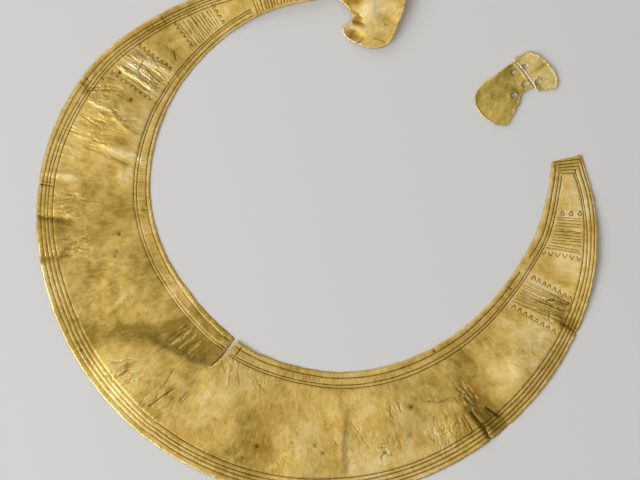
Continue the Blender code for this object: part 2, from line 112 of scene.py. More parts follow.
# The snapped-off terminal in its two pieces.
FRAGMENT_THICKNESS = 0.8
HOLE_DIAMETER = 1.8
LARGE_PLACE = (153.9, 83.7)
LARGE_OUTLINE = (
    (6.2, 12.8), (7.5, 11.5), (9.5, 9.1), (11.3, 6.7), (12.5, 4.8), (13.9, 2.8), (11.6, 1.7), (9.2, -0.1),
    (8.6, -2.1), (8.2, -4.3), (6.4, -5.7), (7.0, -6.2), (5.2, -9.3), (3.9, -11.7), (2.1, -12.1), (-0.8, -11.7),
    (-4.3, -9.7), (-7.5, -6.5), (-8.9, -3.3), (-8.9, -0.5), (-7.9, 1.9), (-5.5, 4.7), (-3.1, 6.4), (-0.9, 7.8),
    (1.2, 9.6), (3.6, 11.2),
)
LARGE_HOLES = ((6.1, 8.7), (10.4, 4.1), (6.0, -0.2))
SMALL_PLACE = (153.0, 101.5)
SMALL_OUTLINE = (
    (-9.1, 6.0), (-9.6, 5.1), (-8.2, 3.9), (-6.6, 1.9), (-4.6, -0.5), (-3.0, -2.8), (-1.2, -5.6), (-0.7, -6.8),
    (1.2, -7.1), (4.0, -6.9), (6.4, -6.5), (7.5, -5.5), (7.8, -3.1), (7.1, -0.7), (5.5, 2.0), (3.2, 4.6),
    (0.0, 7.0), (-3.2, 8.2), (-5.6, 7.6), (-7.6, 6.5),
)
SMALL_HOLES = ((-5.0, 2.4), (-0.2, -3.6))
FRAGMENT_TURN = 30.0

# How the sheet lies, as (angle, radius, half length, half width, degrees from the radius, height).
SLACK = 0.45
KNEE = 0.3
SWELLS = (
    (-128, 90, 16, 16, 0, 0.9), (-118, 114, 14, 24, 0, 1.3), (-86, 88, 20, 17, 70, 2.1), (-58, 96, 16, 12, 20, 1.0),
    (-45, 118, 18, 36, 0, 1.8), (-42, 76, 16, 12, 80, 1.2), (-17, 95, 15, 15, 0, 1.6), (-2, 70, 15, 17, 0, 1.9),
    (10, 118, 16, 24, 0, 1.2), (26, 96, 13, 12, 0, 1.5), (50, 82, 20, 14, 80, 1.8), 
    (83, 100, 14, 12, 60, 1.6), (112, 118, 20, 30, 0, 3.0),
)
# On the terminal: the folded ear with the hollow under it, and its hammered unevenness.
TERMINAL_SWELLS = (
    (-161.0, 74.6, 1.4, 5.0, -8, 0.25), (-160.8, 71.4, 1.4, 3.0, 0, -0.6), (-163.5, 84, 6, 3, 20, 0.5),
    (-169.5, 80, 2.2, 3.5, 0, -0.4), (-167, 73, 1.6, 5, 0, 0.25), (-174, 80, 4, 3, 0, 0.4), (-158, 80.5, 4, 1.2, 30, -0.3),
    (-171, 88, 3, 4, 0, 0.35), (-161.5, 76.3, 0.8, 3.0, 0, -0.15),
)

# Engraved lines along each edge: how far in each one runs, as (angle, millimetres) stations.
OUTER_LINES = (
    ((-148, 1.5), (-110, 2.1), (-85, 1.9), (-65, 1.7), (-40, 2.4), (0, 2.5), (60, 2.1), (105, 1.3), (125, 0.9)),
    ((-148, 2.6), (-110, 3.4), (-85, 3.8), (-65, 3.2), (-40, 4.2), (0, 4.2), (60, 3.7), (105, 2.7), (125, 2.2)),
    ((-148, 3.6), (-110, 4.5), (-85, 5.1), (-65, 4.4), (-40, 5.9), (0, 5.6), (60, 5.5), (105, 4.0), (125, 4.1)),
    ((-148, 4.6), (-110, 5.7), (-85, 6.3), (-65, 6.1), (-40, 7.6), (0, 7.6), (60, 6.9), (105, 5.6), (125, 4.8)),
)
INNER_LINES = (
    ((-148, 1.2), (-110, 1.3), (-65, 1.7), (-20, 2.0), (10, 2.2), (60, 2.5), (100, 2.0), (115, 2.8), (125, 1.9)),
    ((-148, 2.9), (-110, 3.1), (-65, 5.4), (-20, 5.6), (10, 5.2), (60, 5.0), (100, 4.3), (115, 4.5), (125, 3.5)),
    ((-148, 3.8), (-110, 4.0), (-65, 6.6), (-20, 6.7), (10, 6.2), (60, 6.4), (100, 5.3), (115, 5.5), (125, 4.6)),
)
LINES_START = -131.6
# Where each line stops near the snapped end.
OUTER_LINE_ENDS = (132.2, 131.0, 130.0, 129.2)
INNER_LINE_ENDS = (131.8, 130.0, 129.2)
# Between these angles the lines hold no dirt and no painted shade, and are painted pale instead: a painted highlight.
LINES_CLEAN = (-37.0, -6.5)
CLEAN_LINE_PAINTED_HIGHLIGHT = 1.8
# Between these ones they hold less.
LINES_FAINT = (-66.0, -34.0)
FAINTNESS = 0.45
# The first inner line stops between these angles.
LINE_BREAK = (104.5, 108.0)
LINE_HALF_WIDTH = 0.24
LINE_DEPTH = 0.1
LINE_BANK = 0.04
LINE_BANK_REACH = 0.5
LINE_WOBBLE = 0.045
END_LINE_COUNT = 5
END_LINE_PITCH = 1.35
# The groups of lines across the horns: angles of the first and last line's inner ends, then of their outer ends,
# the number of lines, and how deep they are.
CROSS_GROUPS = (
    (-146.5, -133.0, -146.5, -133.0, 17, 0.9), (-122.2, -114.2, -121.6, -114.0, 12, 0.65),
    (-102.4, -95.9, -102.0, -96.2, 10, 0.25), (95.9, 102.3, 96.0, 100.6, 11, 0.52),
    (111.8, 119.4, 111.5, 119.1, 12, 0.62),
)
# Rows of wedge marks: (angle, radius) of the first and last mark, number, reach, half width, with a foot line.
WEDGE_ROWS = (
    ((-122.9, 84.3), (-122.7, 91.2), 4, -1.5, 0.75, False),
    ((-113.6, 83.0), (-113.5, 93.4), 6, 1.5, 0.75, False),
    ((-104.0, 81.5), (-102.9, 96.4), 8, -1.5, 0.75, False),
    ((-95.0, 80.0), (-95.0, 97.8), 9, 1.5, 0.75, False),
    ((119.9, 94.8), (119.9, 101.5), 3, 1.9, 0.85, True),
    ((111.0, 88.6), (110.9, 102.6), 6, -1.9, 0.95, False),
    ((103.0, 87.2), (101.1, 102.9), 8, 1.9, 0.85, False),
    ((94.0, 84.0), (93.1, 102.0), 8, 1.9, 0.9, False),
)
# Ladders of short ticks between the first two inner lines, as (first angle, last angle).
LADDERS = ((-77, -63), (-56, -40), (-33, -25), (-3, 6), (21, 30), (46, 52), (73, 103), (107.5, 114))
LADDER_PITCH = 1.1
LADDER_DEPTH = 0.3
WEDGE_DEPTH = 0.8

# Broad folds: half width on the left and the right of a path, height, path of (angle, radius) points.
FOLDS = (
    (5.5, 15, 1.1, ((-30, 101), (-26, 92), (-23, 85), (-18, 81), (-12, 78.5), (-7, 77))),
    (2.4, 3.2, 0.4, ((-50, 80.5), (-45, 84.5), (-41, 88))),
    (1.3, 1.8, 0.35, ((-35, 91), (-36, 86), (-38.5, 80.5))),
    (3.2, 1.2, -0.8, ((-59.9, 111), (-59.3, 104), (-58.6, 98))),
    (2.6, 1.0, -0.6, ((-50.9, 111), (-50.8, 97))),
    (1.6, 0.9, 0.5, ((-68.6, 109), (-69.0, 95.5))),
    (2.0, 0.9, 0.4, ((-77.9, 91), (-77.6, 82), (-77.5, 71))),
    (1.5, 0.9, 0.35, ((-74.6, 79.5), (-72, 79), (-70, 78.4))),
    (1.0, 0.6, 0.24, ((-86.8, 102), (-86.3, 96), (-86.6, 91), (-85.2, 87.5), (-87.4, 81.5), (-88.6, 77.5))),
    (1.0, 0.6, 0.22, ((-84.3, 98), (-84.5, 93), (-85.1, 88), (-83.8, 82), (-83.5, 76))),
    (1.6, 1.6, -0.35, ((-88, 104), (-90, 97.5), (-92, 91))),
    (2.5, 1.0, 0.65, ((-99.4, 98), (-100.7, 93), (-103, 84), (-104, 80))),
    (2.0, 0.8, 0.45, ((-98.4, 99), (-98.7, 94), (-99.6, 86))),
    (1.5, 0.8, 0.42, ((-96.6, 98), (-96.9, 88), (-97.2, 80))),
    (9.0, 3.6, 1.3, ((67.2, 113), (67.4, 104), (67.2, 95), (68.6, 89))),
    (1.0, 1.3, -0.5, ((67.2, 110.5), (67.6, 104), (67.2, 94))),
    (2.6, 2.6, -0.9, ((71.6, 110.5), (71.3, 103), (70.4, 95))),
    (5.0, 2.0, 0.55, ((34.9, 104), (35.2, 92), (36.4, 80), (37.4, 74))),
    (1.2, 2.2, -0.8, ((95.0, 111), (95.7, 106), (95.8, 102.6))),
    (1.0, 1.6, -0.55, ((99.4, 106), (99.0, 99))),
    (1.2, 4.0, 0.22, ((81.8, 104), (81.6, 97), (83, 93.5), (86, 92.2), (88.6, 93.6))),
    (1.0, 1.0, -0.3, ((-66.2, 110.5), (-66, 106))),
    (3.0, 5.0, 0.4, ((6, 82), (8.5, 88), (10, 97), (9.5, 103))),
)
# Narrow wrinkles: (half width, height, dirt and painted shade, path).
WRINKLES = (
    (0.6, -0.24, 0.4, ((-20.6, 77), (-20.5, 72), (-19.9, 67))),
    (0.6, -0.22, 0.4, ((-19.6, 76.5), (-19.4, 72), (-18.9, 67))),
    (0.5, -0.16, 0.25, ((-17.5, 76), (-17.0, 71), (-16.9, 67.5))),
    (0.5, 0.18, 0.0, ((-18.6, 76), (-18.2, 71), (-18.0, 67))),
    (0.5, 0.16, 0.0, ((-16.4, 75), (-15.9, 70), (-15.8, 67))),
    (0.5, -0.14, 0.25, ((-15.0, 75), (-14.4, 70), (-14.1, 67.5))),
    (0.5, 0.14, 0.0, ((-13.5, 74), (-12.9, 69.5), (-12.8, 67))),
    (0.5, -0.12, 0.15, ((-11.4, 74), (-11.1, 70), (-10.9, 68))),
    (0.45, -0.1, 0.15, ((-8.4, 73), (-8.1, 70), (-8.0, 68))),
    (0.35, -0.12, 0.6, ((-11.6, 100), (-10.7, 93), (-10.0, 88.5))),
    (0.3, -0.08, 0.4, ((-12.2, 90), (-13.4, 83))),
    (0.3, -0.08, 0.4, ((-6.9, 90.5), (-6.5, 86))),
    (0.3, -0.07, 0.4, ((-6.2, 91), (-6.0, 86.5))),
    (0.4, -0.12, 0.5, ((-21.5, 104), (-20.9, 96))),
    (0.35, -0.1, 0.4, ((-24.6, 99.5), (-23.4, 96))),
    (0.35, -0.1, 0.5, ((-19.4, 100), (-19.0, 97.5))),
    (0.35, -0.1, 0.4, ((-38.4, 97.4), (-39.6, 93.2))),
    (0.3, -0.08, 0.7, ((-108.4, 85.4), (-107.6, 83.6), (-107.0, 82.2))),
    (0.3, -0.08, 0.6, ((-101.2, 91.4), (-100, 90.6), (-98.4, 90.4))),
    (0.4, -0.1, 0.4, ((-88.0, 103), (-90.6, 95.5), (-91.8, 91))),
    (0.4, -0.08, 0.3, ((-89.0, 102), (-91.2, 96.5))),
    (0.4, 0.1, 0.0, ((-82.4, 102), (-82.0, 97.5))),
    (0.4, 0.1, 0.0, ((-79.9, 103.5), (-79.5, 96))),
    (0.4, 0.1, 0.0, ((-78.4, 103.5), (-78.0, 95))),
    (0.4, 0.1, 0.0, ((-75.4, 107), (-75.0, 100))),
    (0.4, 0.1, 0.0, ((-73.4, 106), (-73.0, 98))),
    (0.4, -0.1, 0.4, ((-75.4, 84), (-74.6, 77))),
    (0.55, -0.2, 1.0, ((67.3, 109.5), (67.6, 104), (67.4, 97))),
    (0.8, -0.2, 0.9, ((71.6, 105.5), (71.1, 102), (70.7, 99.5))),
    (0.4, -0.1, 0.7, ((70.4, 103), (70.1, 100))),
    (0.45, -0.12, 0.8, ((67.9, 106), (68.0, 103))),
    (0.35, -0.1, 0.5, ((65.3, 103.2), (65.7, 96))),
    (0.35, -0.08, 0.4, ((64.6, 102.6), (64.9, 97))),
    (0.4, -0.1, 0.3, ((68.3, 94), (68.7, 90), (68.2, 85.5))),
    (0.4, -0.1, 0.3, ((69.4, 94), (69.6, 90), (69.2, 86))),
    (0.4, -0.08, 0.3, ((70.4, 94), (70.8, 89))),
    (0.35, -0.07, 0.2, ((57.2, 103.2), (58.2, 101.5), (58.8, 99.5))),
    (0.35, -0.07, 0.2, ((56.4, 102.4), (57.4, 100.7), (58, 98.8))),
    (0.35, -0.07, 0.3, ((60.2, 84.4), (62.6, 86.6), (65.8, 87.6))),
    (0.35, -0.06, 0.3, ((59.4, 83.4), (61.8, 85.4))),
    (0.35, -0.1, 0.5, ((44.2, 98.4), (44.4, 97.2), (45.6, 96.4), (46.0, 97.2))),
    (0.35, 0.08, 0.0, ((43.6, 99.2), (44.8, 100.6), (46.4, 100.2))),
    (0.35, -0.1, 0.4, ((49.4, 83.6), (50.2, 79.4))),
    (0.35, -0.08, 0.3, ((52.2, 83.2), (53, 79))),
    (0.3, -0.07, 0.3, ((9.2, 100.4), (9.9, 98), (10.9, 96))),
    (0.3, -0.06, 0.2, ((8.6, 100), (9.3, 97.7), (10.2, 95.8))),
    (0.3, -0.05, 0.2, ((9.9, 100.6), (10.6, 98.4), (11.5, 96.6))),
    (0.4, 0.07, 0.0, ((23.6, 76.5), (22.8, 73), (22.0, 70))),
    (0.35, -0.09, 0.8, ((-0.7, 63.6), (-0.6, 60.4))),
    (0.35, -0.1, 0.8, ((-90.3, 106), (-90.2, 104.4))),
    (0.35, -0.1, 0.8, ((-89.0, 106.2), (-88.9, 104.6))),
    (0.35, -0.1, 0.6, ((-111.4, 98.8), (-111.2, 95.4))),
    (0.35, -0.08, 0.5, ((-108.7, 99.6), (-108.5, 96.8))),
    (0.35, -0.1, 0.8, ((-61.6, 68.8), (-61.4, 67.2))),
    (1.0, -0.2, 0.27, ((-59.8, 109.6), (-59.3, 104), (-58.6, 98.5))),
    (0.9, -0.16, 0.2, ((-50.9, 109.6), (-50.8, 104), (-50.8, 99.5))),
    (0.4, -0.12, 0.7, ((99.2, 94.6), (99.7, 96), (99.9, 97.6))),
    (0.35, -0.1, 0.6, ((95.4, 98.2), (96.4, 97.8), (97.2, 96.8))),
    (0.35, -0.08, 0.5, ((96.6, 96.4), (97.2, 95.2))),
    (0.35, -0.1, 0.8, ((98.9, 80.2), (98.9, 78.6))),
    (0.4, -0.12, 0.8, ((-66.2, 109.4), (-66.1, 104.6))),
    (0.35, -0.1, 0.5, ((-66.9, 109.0), (-66.8, 105.2))),
    (0.5, -0.15, 0.6, ((95.2, 109.6), (95.7, 106), (95.7, 103.4))),
    (0.3, 0.07, 0.0, ((119.9, 98), (122.8, 98))),
    (0.9, -0.2, 0.22, ((-158.9, 80.4), (-160.5, 79.7), (-161.9, 78.3))),
    (0.35, -0.1, 0.4, ((-159.6, 76.3), (-161.4, 76.5), (-163.3, 76.2))),
    (0.45, -0.12, 0.4, ((-162.8, 68.9), (-164.0, 70.6))),
    (0.45, -0.12, 0.35, ((-167.3, 71.8), (-168.9, 72.0), (-170.6, 71.8))),
    (0.4, 0.1, 0.0, ((-170.7, 83.8), (-172.0, 86.5))),
)
# Patches of small crinkles: (angle, radius, half length, half width, degrees from the radius, number, height).
CRINKLES = (
    (-99, 89, 9, 7, 6, 46, 0.16), (-63, 97, 6, 5, 4, 16, 0.09), (-53, 95, 8, 6, 4, 20, 0.09),
    (-21, 97, 6, 6, -8, 18, 0.1), (-85.5, 88, 12, 3, 6, 10, 0.14), (-79, 95, 9, 7, 2, 16, 0.1),
    (-90, 98, 7, 5, 20, 14, 0.1), (60, 97, 6, 8, -12, 18, 0.06), (69, 91, 7, 4, 0, 16, 0.12),
    (50, 82, 4, 5, 10, 9, 0.05), (98, 97, 6, 6, 5, 16, 0.12), (1, 71, 6, 5, 40, 12, 0.07),
    (11, 71, 4, 3, 30, 7, 0.06), (46, 95, 5, 5, 60, 7, 0.05), (38, 90, 6, 8, 30, 8, 0.04),
    (-10, 97, 6, 10, 0, 10, 0.06), (-15, 71, 4, 7, 3, 10, 0.12),
)
CRINKLE_LENGTH = (2.0, 5.5)
CRINKLE_HALF_WIDTH = (0.3, 0.45)
# Sunk crinkles are darkened with dirt and painted shade.
CRINKLE_DIRT_AND_SHADE = 0.25
# Crests this high are rubbed to the palest gold.
FULL_CREST = 0.12
CREST_TONE = 0.9
# Pits and small round dents: (angle, radius, size, depth, dirt and painted shade).
PITS = (
    (14.9, 93.5, 0.8, 0.2, 0.9), (12.5, 99.5, 0.7, 0.15, 0.7), (30.8, 93, 0.7, 0.15, 0.7), (28.8, 90, 0.8, 0.12, 0.5),
    (23, 89.5, 0.7, 0.12, 0.5), (52.5, 93, 1.2, 0.15, 0.3), (55.4, 83, 1.0, 0.2, 0.7), (-95.4, 95.6, 0.9, 0.22, 0.9),
    (-91.4, 86.2, 0.8, 0.25, 1.0), (-48.6, 81.4, 0.7, 0.15, 0.7), (-49.8, 80.4, 0.6, 0.12, 0.7),
    (-54.5, 78.6, 0.8, 0.15, 0.6), (-8.6, 92, 1.0, 0.12, 0.3), (2.8, 89.5, 0.9, 0.12, 0.4), (-46.5, 100.5, 0.9, -0.12, 0.0),
    (100.2, 103.2, 0.6, 0.2, 0.9), (-92.0, 99.6, 0.7, 0.15, 0.7), (-72.9, 84, 0.5, 0.15, 0.8), (70, 69.6, 0.6, 0.12, 0.9),
    (-30.3, 106.8, 0.6, 0.15, 0.8), (-22.8, 104, 0.6, 0.15, 0.8), (45.6, 96.2, 0.8, 0.2, 0.6),
    (-169.2, 78.3, 0.45, 0.12, 0.5), (-164.6, 73.4, 0.4, 0.1, 0.5),
)
# Red-brown stains: (angle, radius, half length, half width, degrees from the radius, strength).
STAINS = (
    (-104, 101, 3.5, 11, 0, 0.5), (-112, 97, 3, 6, 0, 0.4), (-80, 82, 4, 1.6, 0, 0.35), (-66, 107, 4, 4, 0, 0.2),
    (-59, 104, 6, 1.4, 0, 0.3), (-50, 69, 3, 6, 0, 0.25), (-30, 105, 5, 3, 0, 0.2), (-3, 103, 3, 4, 0, 0.5),
    (-2, 99, 4, 5, 0, 0.25), (0.4, 99, 4, 0.8, 0, 0.3), (16, 88, 13, 5, 0, 0.45), (20, 80, 8, 8, 30, 0.25),
    (14.9, 93.5, 2, 2, 0, 0.4), (37, 85, 6, 3, 0, 0.4), (49, 88, 8, 6, 30, 0.3), (33, 90, 6, 2, 0, 0.25),
    (66, 92, 3, 2, 0, 0.4), (71.6, 91, 3.5, 1.8, 0, 0.6), (83, 107.5, 2.6, 14, 0, 0.45), (93, 106, 3, 8, 0, 0.35),
    (85, 78.5, 2, 14, 3, 0.35), (96, 80, 2.2, 8, 3, 0.45), (92, 83, 2.2, 2.2, 0, 0.6), (107, 94, 8, 4.5, 0, 0.3),
    (113.5, 103, 3, 3, 0, 0.45), (118, 106.5, 1.0, 6, 0, 0.5), (60, 67.5, 2, 16, 2, 0.25), (-140, 84, 6, 8, 0, 0.2),
    (-160.8, 71.6, 1.5, 3.0, 0, 0.5), (-158.9, 84.5, 2, 3.2, 0, 0.6), (-160.6, 77.0, 2.2, 1.8, 0, 0.6),
    (-158.2, 81.2, 3, 0.9, 20, 0.6),
)

# Tones, partly real and partly painted light: pale where the gold is rubbed and where a painted highlight falls
# (over nought), olive and dull where it is not rubbed and where painted shade falls. (angle, radius, half length,
# half width, degrees from the radius, tone).
TONES_AND_PAINTED_LIGHT = (
    (-100, 90, 8, 4, 8, 0.4), (-101.8, 88, 7, 1.6, 12, 0.9), (-98.4, 92, 7, 1.3, 0, 0.9), (-96.8, 88, 8, 1.1, 0, 0.8),
    (-95.8, 86, 6, 0.7, 0, 0.3), (-107, 90, 9, 3, 0, -0.45), (-90.5, 90, 9, 3, 10, -0.35), (-86, 92, 10, 1.3, 0, 0.5),
    (-84, 80, 5, 2.5, 0, 0.25), (-87.6, 80, 4, 0.6, 18, 0.7), (-80.5, 81, 6, 1.3, 0, -0.35), (-77.3, 80, 9, 1.9, 0, 0.9),
    (-74.8, 79, 5, 1, 0, -0.35), (-72, 77.5, 1.6, 2.6, 0, 0.8), (-71.5, 82, 5, 3, 0, 0.2), (-68.5, 101, 6, 1.1, 3, 0.9),
    (-66, 88, 12, 4, 0, -0.3), (-61, 76, 9, 7, 0, -0.4), (-53, 98, 8, 4, 0, -0.2), (-45, 91, 5, 5, 0, -0.35),
    (-44.6, 85, 1.5, 7, -50, 0.3), (-36.6, 85, 6, 0.8, 18, 0.7), (-38.3, 80, 2, 2.5, 0, 0.35), (-40, 72, 6, 12, 0, -0.15),
    (-28.5, 87, 13, 3.6, -36, -0.7), (-24.5, 79, 7, 5, 0, -0.5), (-59, 103.5, 5.5, 0.8, -6, -1.4), (-50.8, 103, 7, 0.7, 0, -0.8),
    (0, 85, 10, 8, 0, 0.35), (3, 75, 8, 8, 0, 0.3), (-9, 88, 7, 8, 0, 0.2), (14, 89, 13, 5, 8, -0.45),
    (17, 98, 6, 4, 0, -0.3), (8, 90, 5, 4, 0, -0.2), (26, 88, 10, 6, 0, 0.15), (32.5, 90, 14, 2.6, 4, -0.45),
    (37, 93, 11, 2, 6, 0.5), (42, 100, 4, 5, 0, 0.45), (43, 78, 6, 6, 0, 0.25), (45, 86, 2, 6, 0, -0.25),
    (60, 88, 6, 6, 0, 0.1), (64, 82, 9, 4, 0, -0.35), (69, 99, 8, 3, 0, -0.7), (71, 104, 6, 2.0, 0, -1.3),
    (67.2, 103, 8, 0.6, 0, -1.4), (74, 81, 7, 5, 0, -0.55), (75.8, 82, 6, 1.8, 0, -0.5), (64, 98, 8, 3, 0, -0.4),
    (80, 96, 6, 4, 0, 0.2), (86, 97, 6, 6, 0, 0.4), (84, 86, 5, 4, 0, -0.3), (88, 82, 3, 4, 0, 0.3),
    (92, 100, 5, 5, 0, 0.3), (97.5, 101, 5, 2.5, 0, -0.6), (98.7, 95, 3, 1.6, -20, -0.5), (95.8, 106, 4, 0.8, 0, -1.3),
    (104.3, 100, 5, 1, 0, -0.3), (115.5, 96.5, 4, 1.4, 0, -0.55), (117.5, 104, 4, 2, 0, -0.4), (125, 98, 5, 7, 0, 0.4),
    (113, 92, 4, 4, 0, 0.3), (-20, 106, 3, 20, 0, 0.1), (-22.6, 70, 7, 1.8, -8, -0.9), (-26.5, 80, 6, 2, -30, -0.5),
    (-126, 88, 5, 12, 0, -0.2), (-112, 97, 5, 8, 0, -0.4),
    (-93, 105, 3, 8, 0, -0.25), (-122, 98, 4, 18, 0, -0.4), (-33, 103, 7, 7, 0, -0.45), (-57, 102, 8, 8, 0, -0.35),
    (-47, 88, 12, 14, 0, -0.25), (5, 103, 5, 16, 0, -0.3), (14, 84, 10, 8, 0, -0.25), (72, 92, 14, 5, 0, -0.55),
    (64, 100, 8, 5, 0, -0.2), (93, 95, 10, 7, 0, 0.2), (110, 98, 9, 9, 0, 0.5), (107, 93, 7, 4, 0, -0.25), (96.6, 106, 6, 2, 0, -1.1),
    (99.8, 102, 5, 1.8, 0, -0.8), (70.6, 104, 5, 1.8, 0, -0.8), (69, 98, 8, 3, 0, -0.5), (120, 100, 8, 7, 0, 0.7),
    (128, 101, 6, 6, 0, 0.4), (102, 90, 8, 6, 0, 0.3), (-153, 95, 8, 8, 0, 0.2), (-165.5, 83, 6, 6, 0, 1.1),
    (-169.3, 80.5, 1.4, 3.0, 0, -0.9), (-158.9, 84.5, 1.8, 3.4, 0, -1.6), (-158.2, 81.5, 2.4, 0.9, 20, -1.2),
    (-160.8, 76.8, 1.7, 1.8, 0, -1.1), (-160.8, 71.4, 1.2, 2.6, 0, -0.6), (-161.3, 74.0, 0.9, 4.0, -8, 1.3),
    (-166, 74.5, 1.5, 3, 0, 0.3), (-172.5, 78, 3, 3, 0, -0.4), (-175, 84, 4, 2, 0, -0.3),
    (-30, 105, 5, 6, 0, -0.5), (-130, 80, 4, 8, 0, -0.35), (-110, 99, 3, 8, 0, -0.3), (60, 88, 7, 6, 0, -0.3),
    (70, 88, 6, 5, 0, -0.3), (70, 103, 6, 4, 0, -0.4), (90, 93, 12, 5, 0, 0.35), (101, 88, 6, 6, 0, 0.2),
    (110, 95, 6, 4, 0, 0.5), (-30, 105, 5, 5, 0, -0.4), (-30, 67, 6, 6, 0, -0.3), (-12, 105, 5, 10, 0, -0.2),
    (70, 92, 12, 6, 0, -0.25), (-100, 80, 4, 6, 0, 0.5), (-120, 86, 4, 8, 0, 0.2), (-42, 75, 6, 8, 0, -0.2),
    (45, 95, 6, 8, 0, 0.3), (52, 88, 6, 5, 0, 0.4), (10, 95, 5, 4, 0, -0.2), (20, 96, 5, 5, 0, -0.3),
)
# The drooping flap is painted olive: painted shade, as it falls away from the light.
FLAP_PAINTED_SHADE = -0.5
# The same for the two loose pieces: rubbed and dulled patches, with painted highlights and painted shade.
FRAGMENT_TONES_AND_PAINTED_LIGHT = (
    (153.8, 103, 4.5, 0.9, 0, -0.9), (150.0, 99.3, 0.9, 2.2, 0, -1.2), (157.9, 92.9, 1.5, 3.0, 0, -0.6),
    (151.5, 103, 5, 2, 0, 0.3), (156.5, 104, 3, 3, 0, 0.3), (151, 84, 5, 3, 0, 0.25), (156, 82, 5, 4, 0, -0.15),
)
FRAGMENT_SWELLS = (
    (151.8, 103, 6, 2.2, 0, 0.3), (155.8, 103, 5, 2.0, 0, 0.25), (152, 84, 7, 6, 30, 0.35), (158, 86, 5, 4, 0, 0.2),
)
# Where the sheet is finely crumpled: (angle, radius, half length, half width, degrees from the radius, strength).
CRUMPLED = (
    (-99, 89, 10, 5, 4, 0.8), (-90, 98, 8, 5, 18, 0.7), (-63, 96, 8, 6, 6, 0.9), (-53.5, 94, 8, 7, 4, 0.7),
    (-21, 98, 7, 7, -8, 0.7), (60, 98, 7, 9, -10, 0.8), (69, 90, 8, 4, 0, 0.9), (52, 82, 5, 6, 0, 0.4),
    (98, 99, 6, 7, 10, 0.6), (-81, 92, 14, 11, 3, 0.6), (1, 70, 7, 7, 30, 0.5), (11, 70, 5, 5, 30, 0.4),
    (48, 94, 5, 6, 0, 0.5), (-10, 95, 9, 12, 0, 0.5), (85, 97, 8, 10, 20, 0.3), (-40, 92, 8, 14, 0, 0.4),
    (20, 90, 14, 16, 0, 0.4), (40, 88, 12, 10, 20, 0.35), (-15, 71, 9, 9, 0, 0.5),
)

# How fine the meshes are.
EDGE_STEP = 0.6
LINE_STEP = 0.8
FIELD_STEP = 0.7
UNDERSIDE_STEP = 2.2
FRAGMENT_STEP = 0.4
RIM_WIDTH = 0.18
FRAGMENT_RIM_WIDTH = 0.12
RIM_SHARE = 0.4
# The thick plates have a slightly raised rim, and each stitch hole a burr: how high, how far from the hole, how wide.
RIM_RAISE = 0.22
RIM_RAISE_REACH = 0.5
LARGE_BURRS = (0.08, 0.16, 0.32)
SMALL_BURRS = (0.12, 0.26)
BURR_AWAY = 0.5
BURR_WIDTH = 0.6
BURR_SIDE = 150.0

# The camera's frame: its width at the sheet, and its middle seen from the centre of the outer edge.
FRAME_WIDTH = 249.6
FRAME_MIDDLE = (5.04, -8.50)
CAMERA_TURN = 30.0
CAMERA_HEIGHT = 2.0
SENSOR_WIDTH = 36.0


def read_off(stations, places):
    """Values at the given places on a smooth curve through (place, value) stations."""
    at, values = np.array(stations, float).T
    slopes = np.gradient(values)
    slopes[1:-1] = (values[2:] - values[:-2]) / (at[2:] - at[:-2])
    slopes[0] = (values[1] - values[0]) / (at[1] - at[0])
    slopes[-1] = (values[-1] - values[-2]) / (at[-1] - at[-2])
    places = np.clip(places, at[0], at[-1])
    i = np.clip(np.searchsorted(at, places, side="right") - 1, 0, len(at) - 2)
    span = at[i + 1] - at[i]
    t = (places - at[i]) / span
    return (
        (2 * t ** 3 - 3 * t ** 2 + 1) * values[i]
        + (t ** 3 - 2 * t ** 2 + t) * span * slopes[i]
        + (3 * t ** 2 - 2 * t ** 3) * values[i + 1]
        + (t ** 3 - t ** 2) * span * slopes[i + 1]
    )


def eased(share):
    share = np.clip(share, 0.0, 1.0)
    return share * share * (3 - 2 * share)


def polar(angles, radii):
    turn = np.radians(angles)
    return np.stack([np.sin(turn) * radii, -np.cos(turn) * radii], axis=-1)


def angle_of(points):
    return np.degrees(np.arctan2(points[..., 0], -points[..., 1]))


def inner_edge(angles):
    turn = np.radians(angles)
    aside = INNER_CENTRE_RISE * np.sin(turn)
    arc = np.sqrt(INNER_RADIUS ** 2 - aside ** 2) - INNER_CENTRE_RISE * np.cos(turn)
    return arc + read_off(INNER_STRAY, angles)


def outer_edge(angles):
    """The radius of the outer edge: an arc, which draws in to the width of each horn's end."""
    whole = np.asarray(angles) < 0
    taper = np.where(whole, read_off(WHOLE_HORN_TAPER, angles), read_off(BROKEN_HORN_TAPER, angles))
    width = np.where(whole, WHOLE_HORN_WIDTH, BROKEN_HORN_WIDTH)
    return OUTER_RADIUS + taper * (inner_edge(angles) + width - OUTER_RADIUS)


def spread(start, end, radius, step):
    """Evenly spaced angles from start to end, about step apart at that radius."""
    count = max(2, round(abs(math.radians(end - start)) * radius / step) + 1)
    return np.linspace(start, end, count)


def rounded(points, step):
    """Points about step apart along a smooth line through the given ones."""
    points = np.array(points, float)
    along = np.concatenate([[0], np.cumsum(np.linalg.norm(np.diff(points, axis=0), axis=1))])
    places = np.linspace(0, along[-1], max(2, round(along[-1] / step) + 1))
    return np.stack([read_off(np.stack([along, points[:, i]], axis=1), places) for i in (0, 1)], axis=-1)


def tear_point(depth, side):
    """A point on the tear's edge, on its left (-1) or right (1) lip, or on its middle line (0)."""
    share = depth / TEAR_DEPTH
    middle = polar(TEAR_ANGLE - TEAR_LEAN * share ** 2, inner_edge(TEAR_ANGLE) + depth)
    jag = 0.12 * np.sin(2.3 * depth) * share * (1 - share) * 4
    half = TEAR_GAP / 2 * (1 - share)
    return middle + polar(TEAR_ANGLE + 90, 1.0) * np.asarray(side * half + jag)[..., None]


def terminal_frame():
    """The middle of the whole horn's end, with the directions along the horn and outwards."""
    middle = (outer_edge(WHOLE_HORN_ANGLE) + inner_edge(WHOLE_HORN_ANGLE)) / 2
    return polar(WHOLE_HORN_ANGLE, middle), polar(WHOLE_HORN_ANGLE - 90, 1.0), polar(WHOLE_HORN_ANGLE, 1.0)


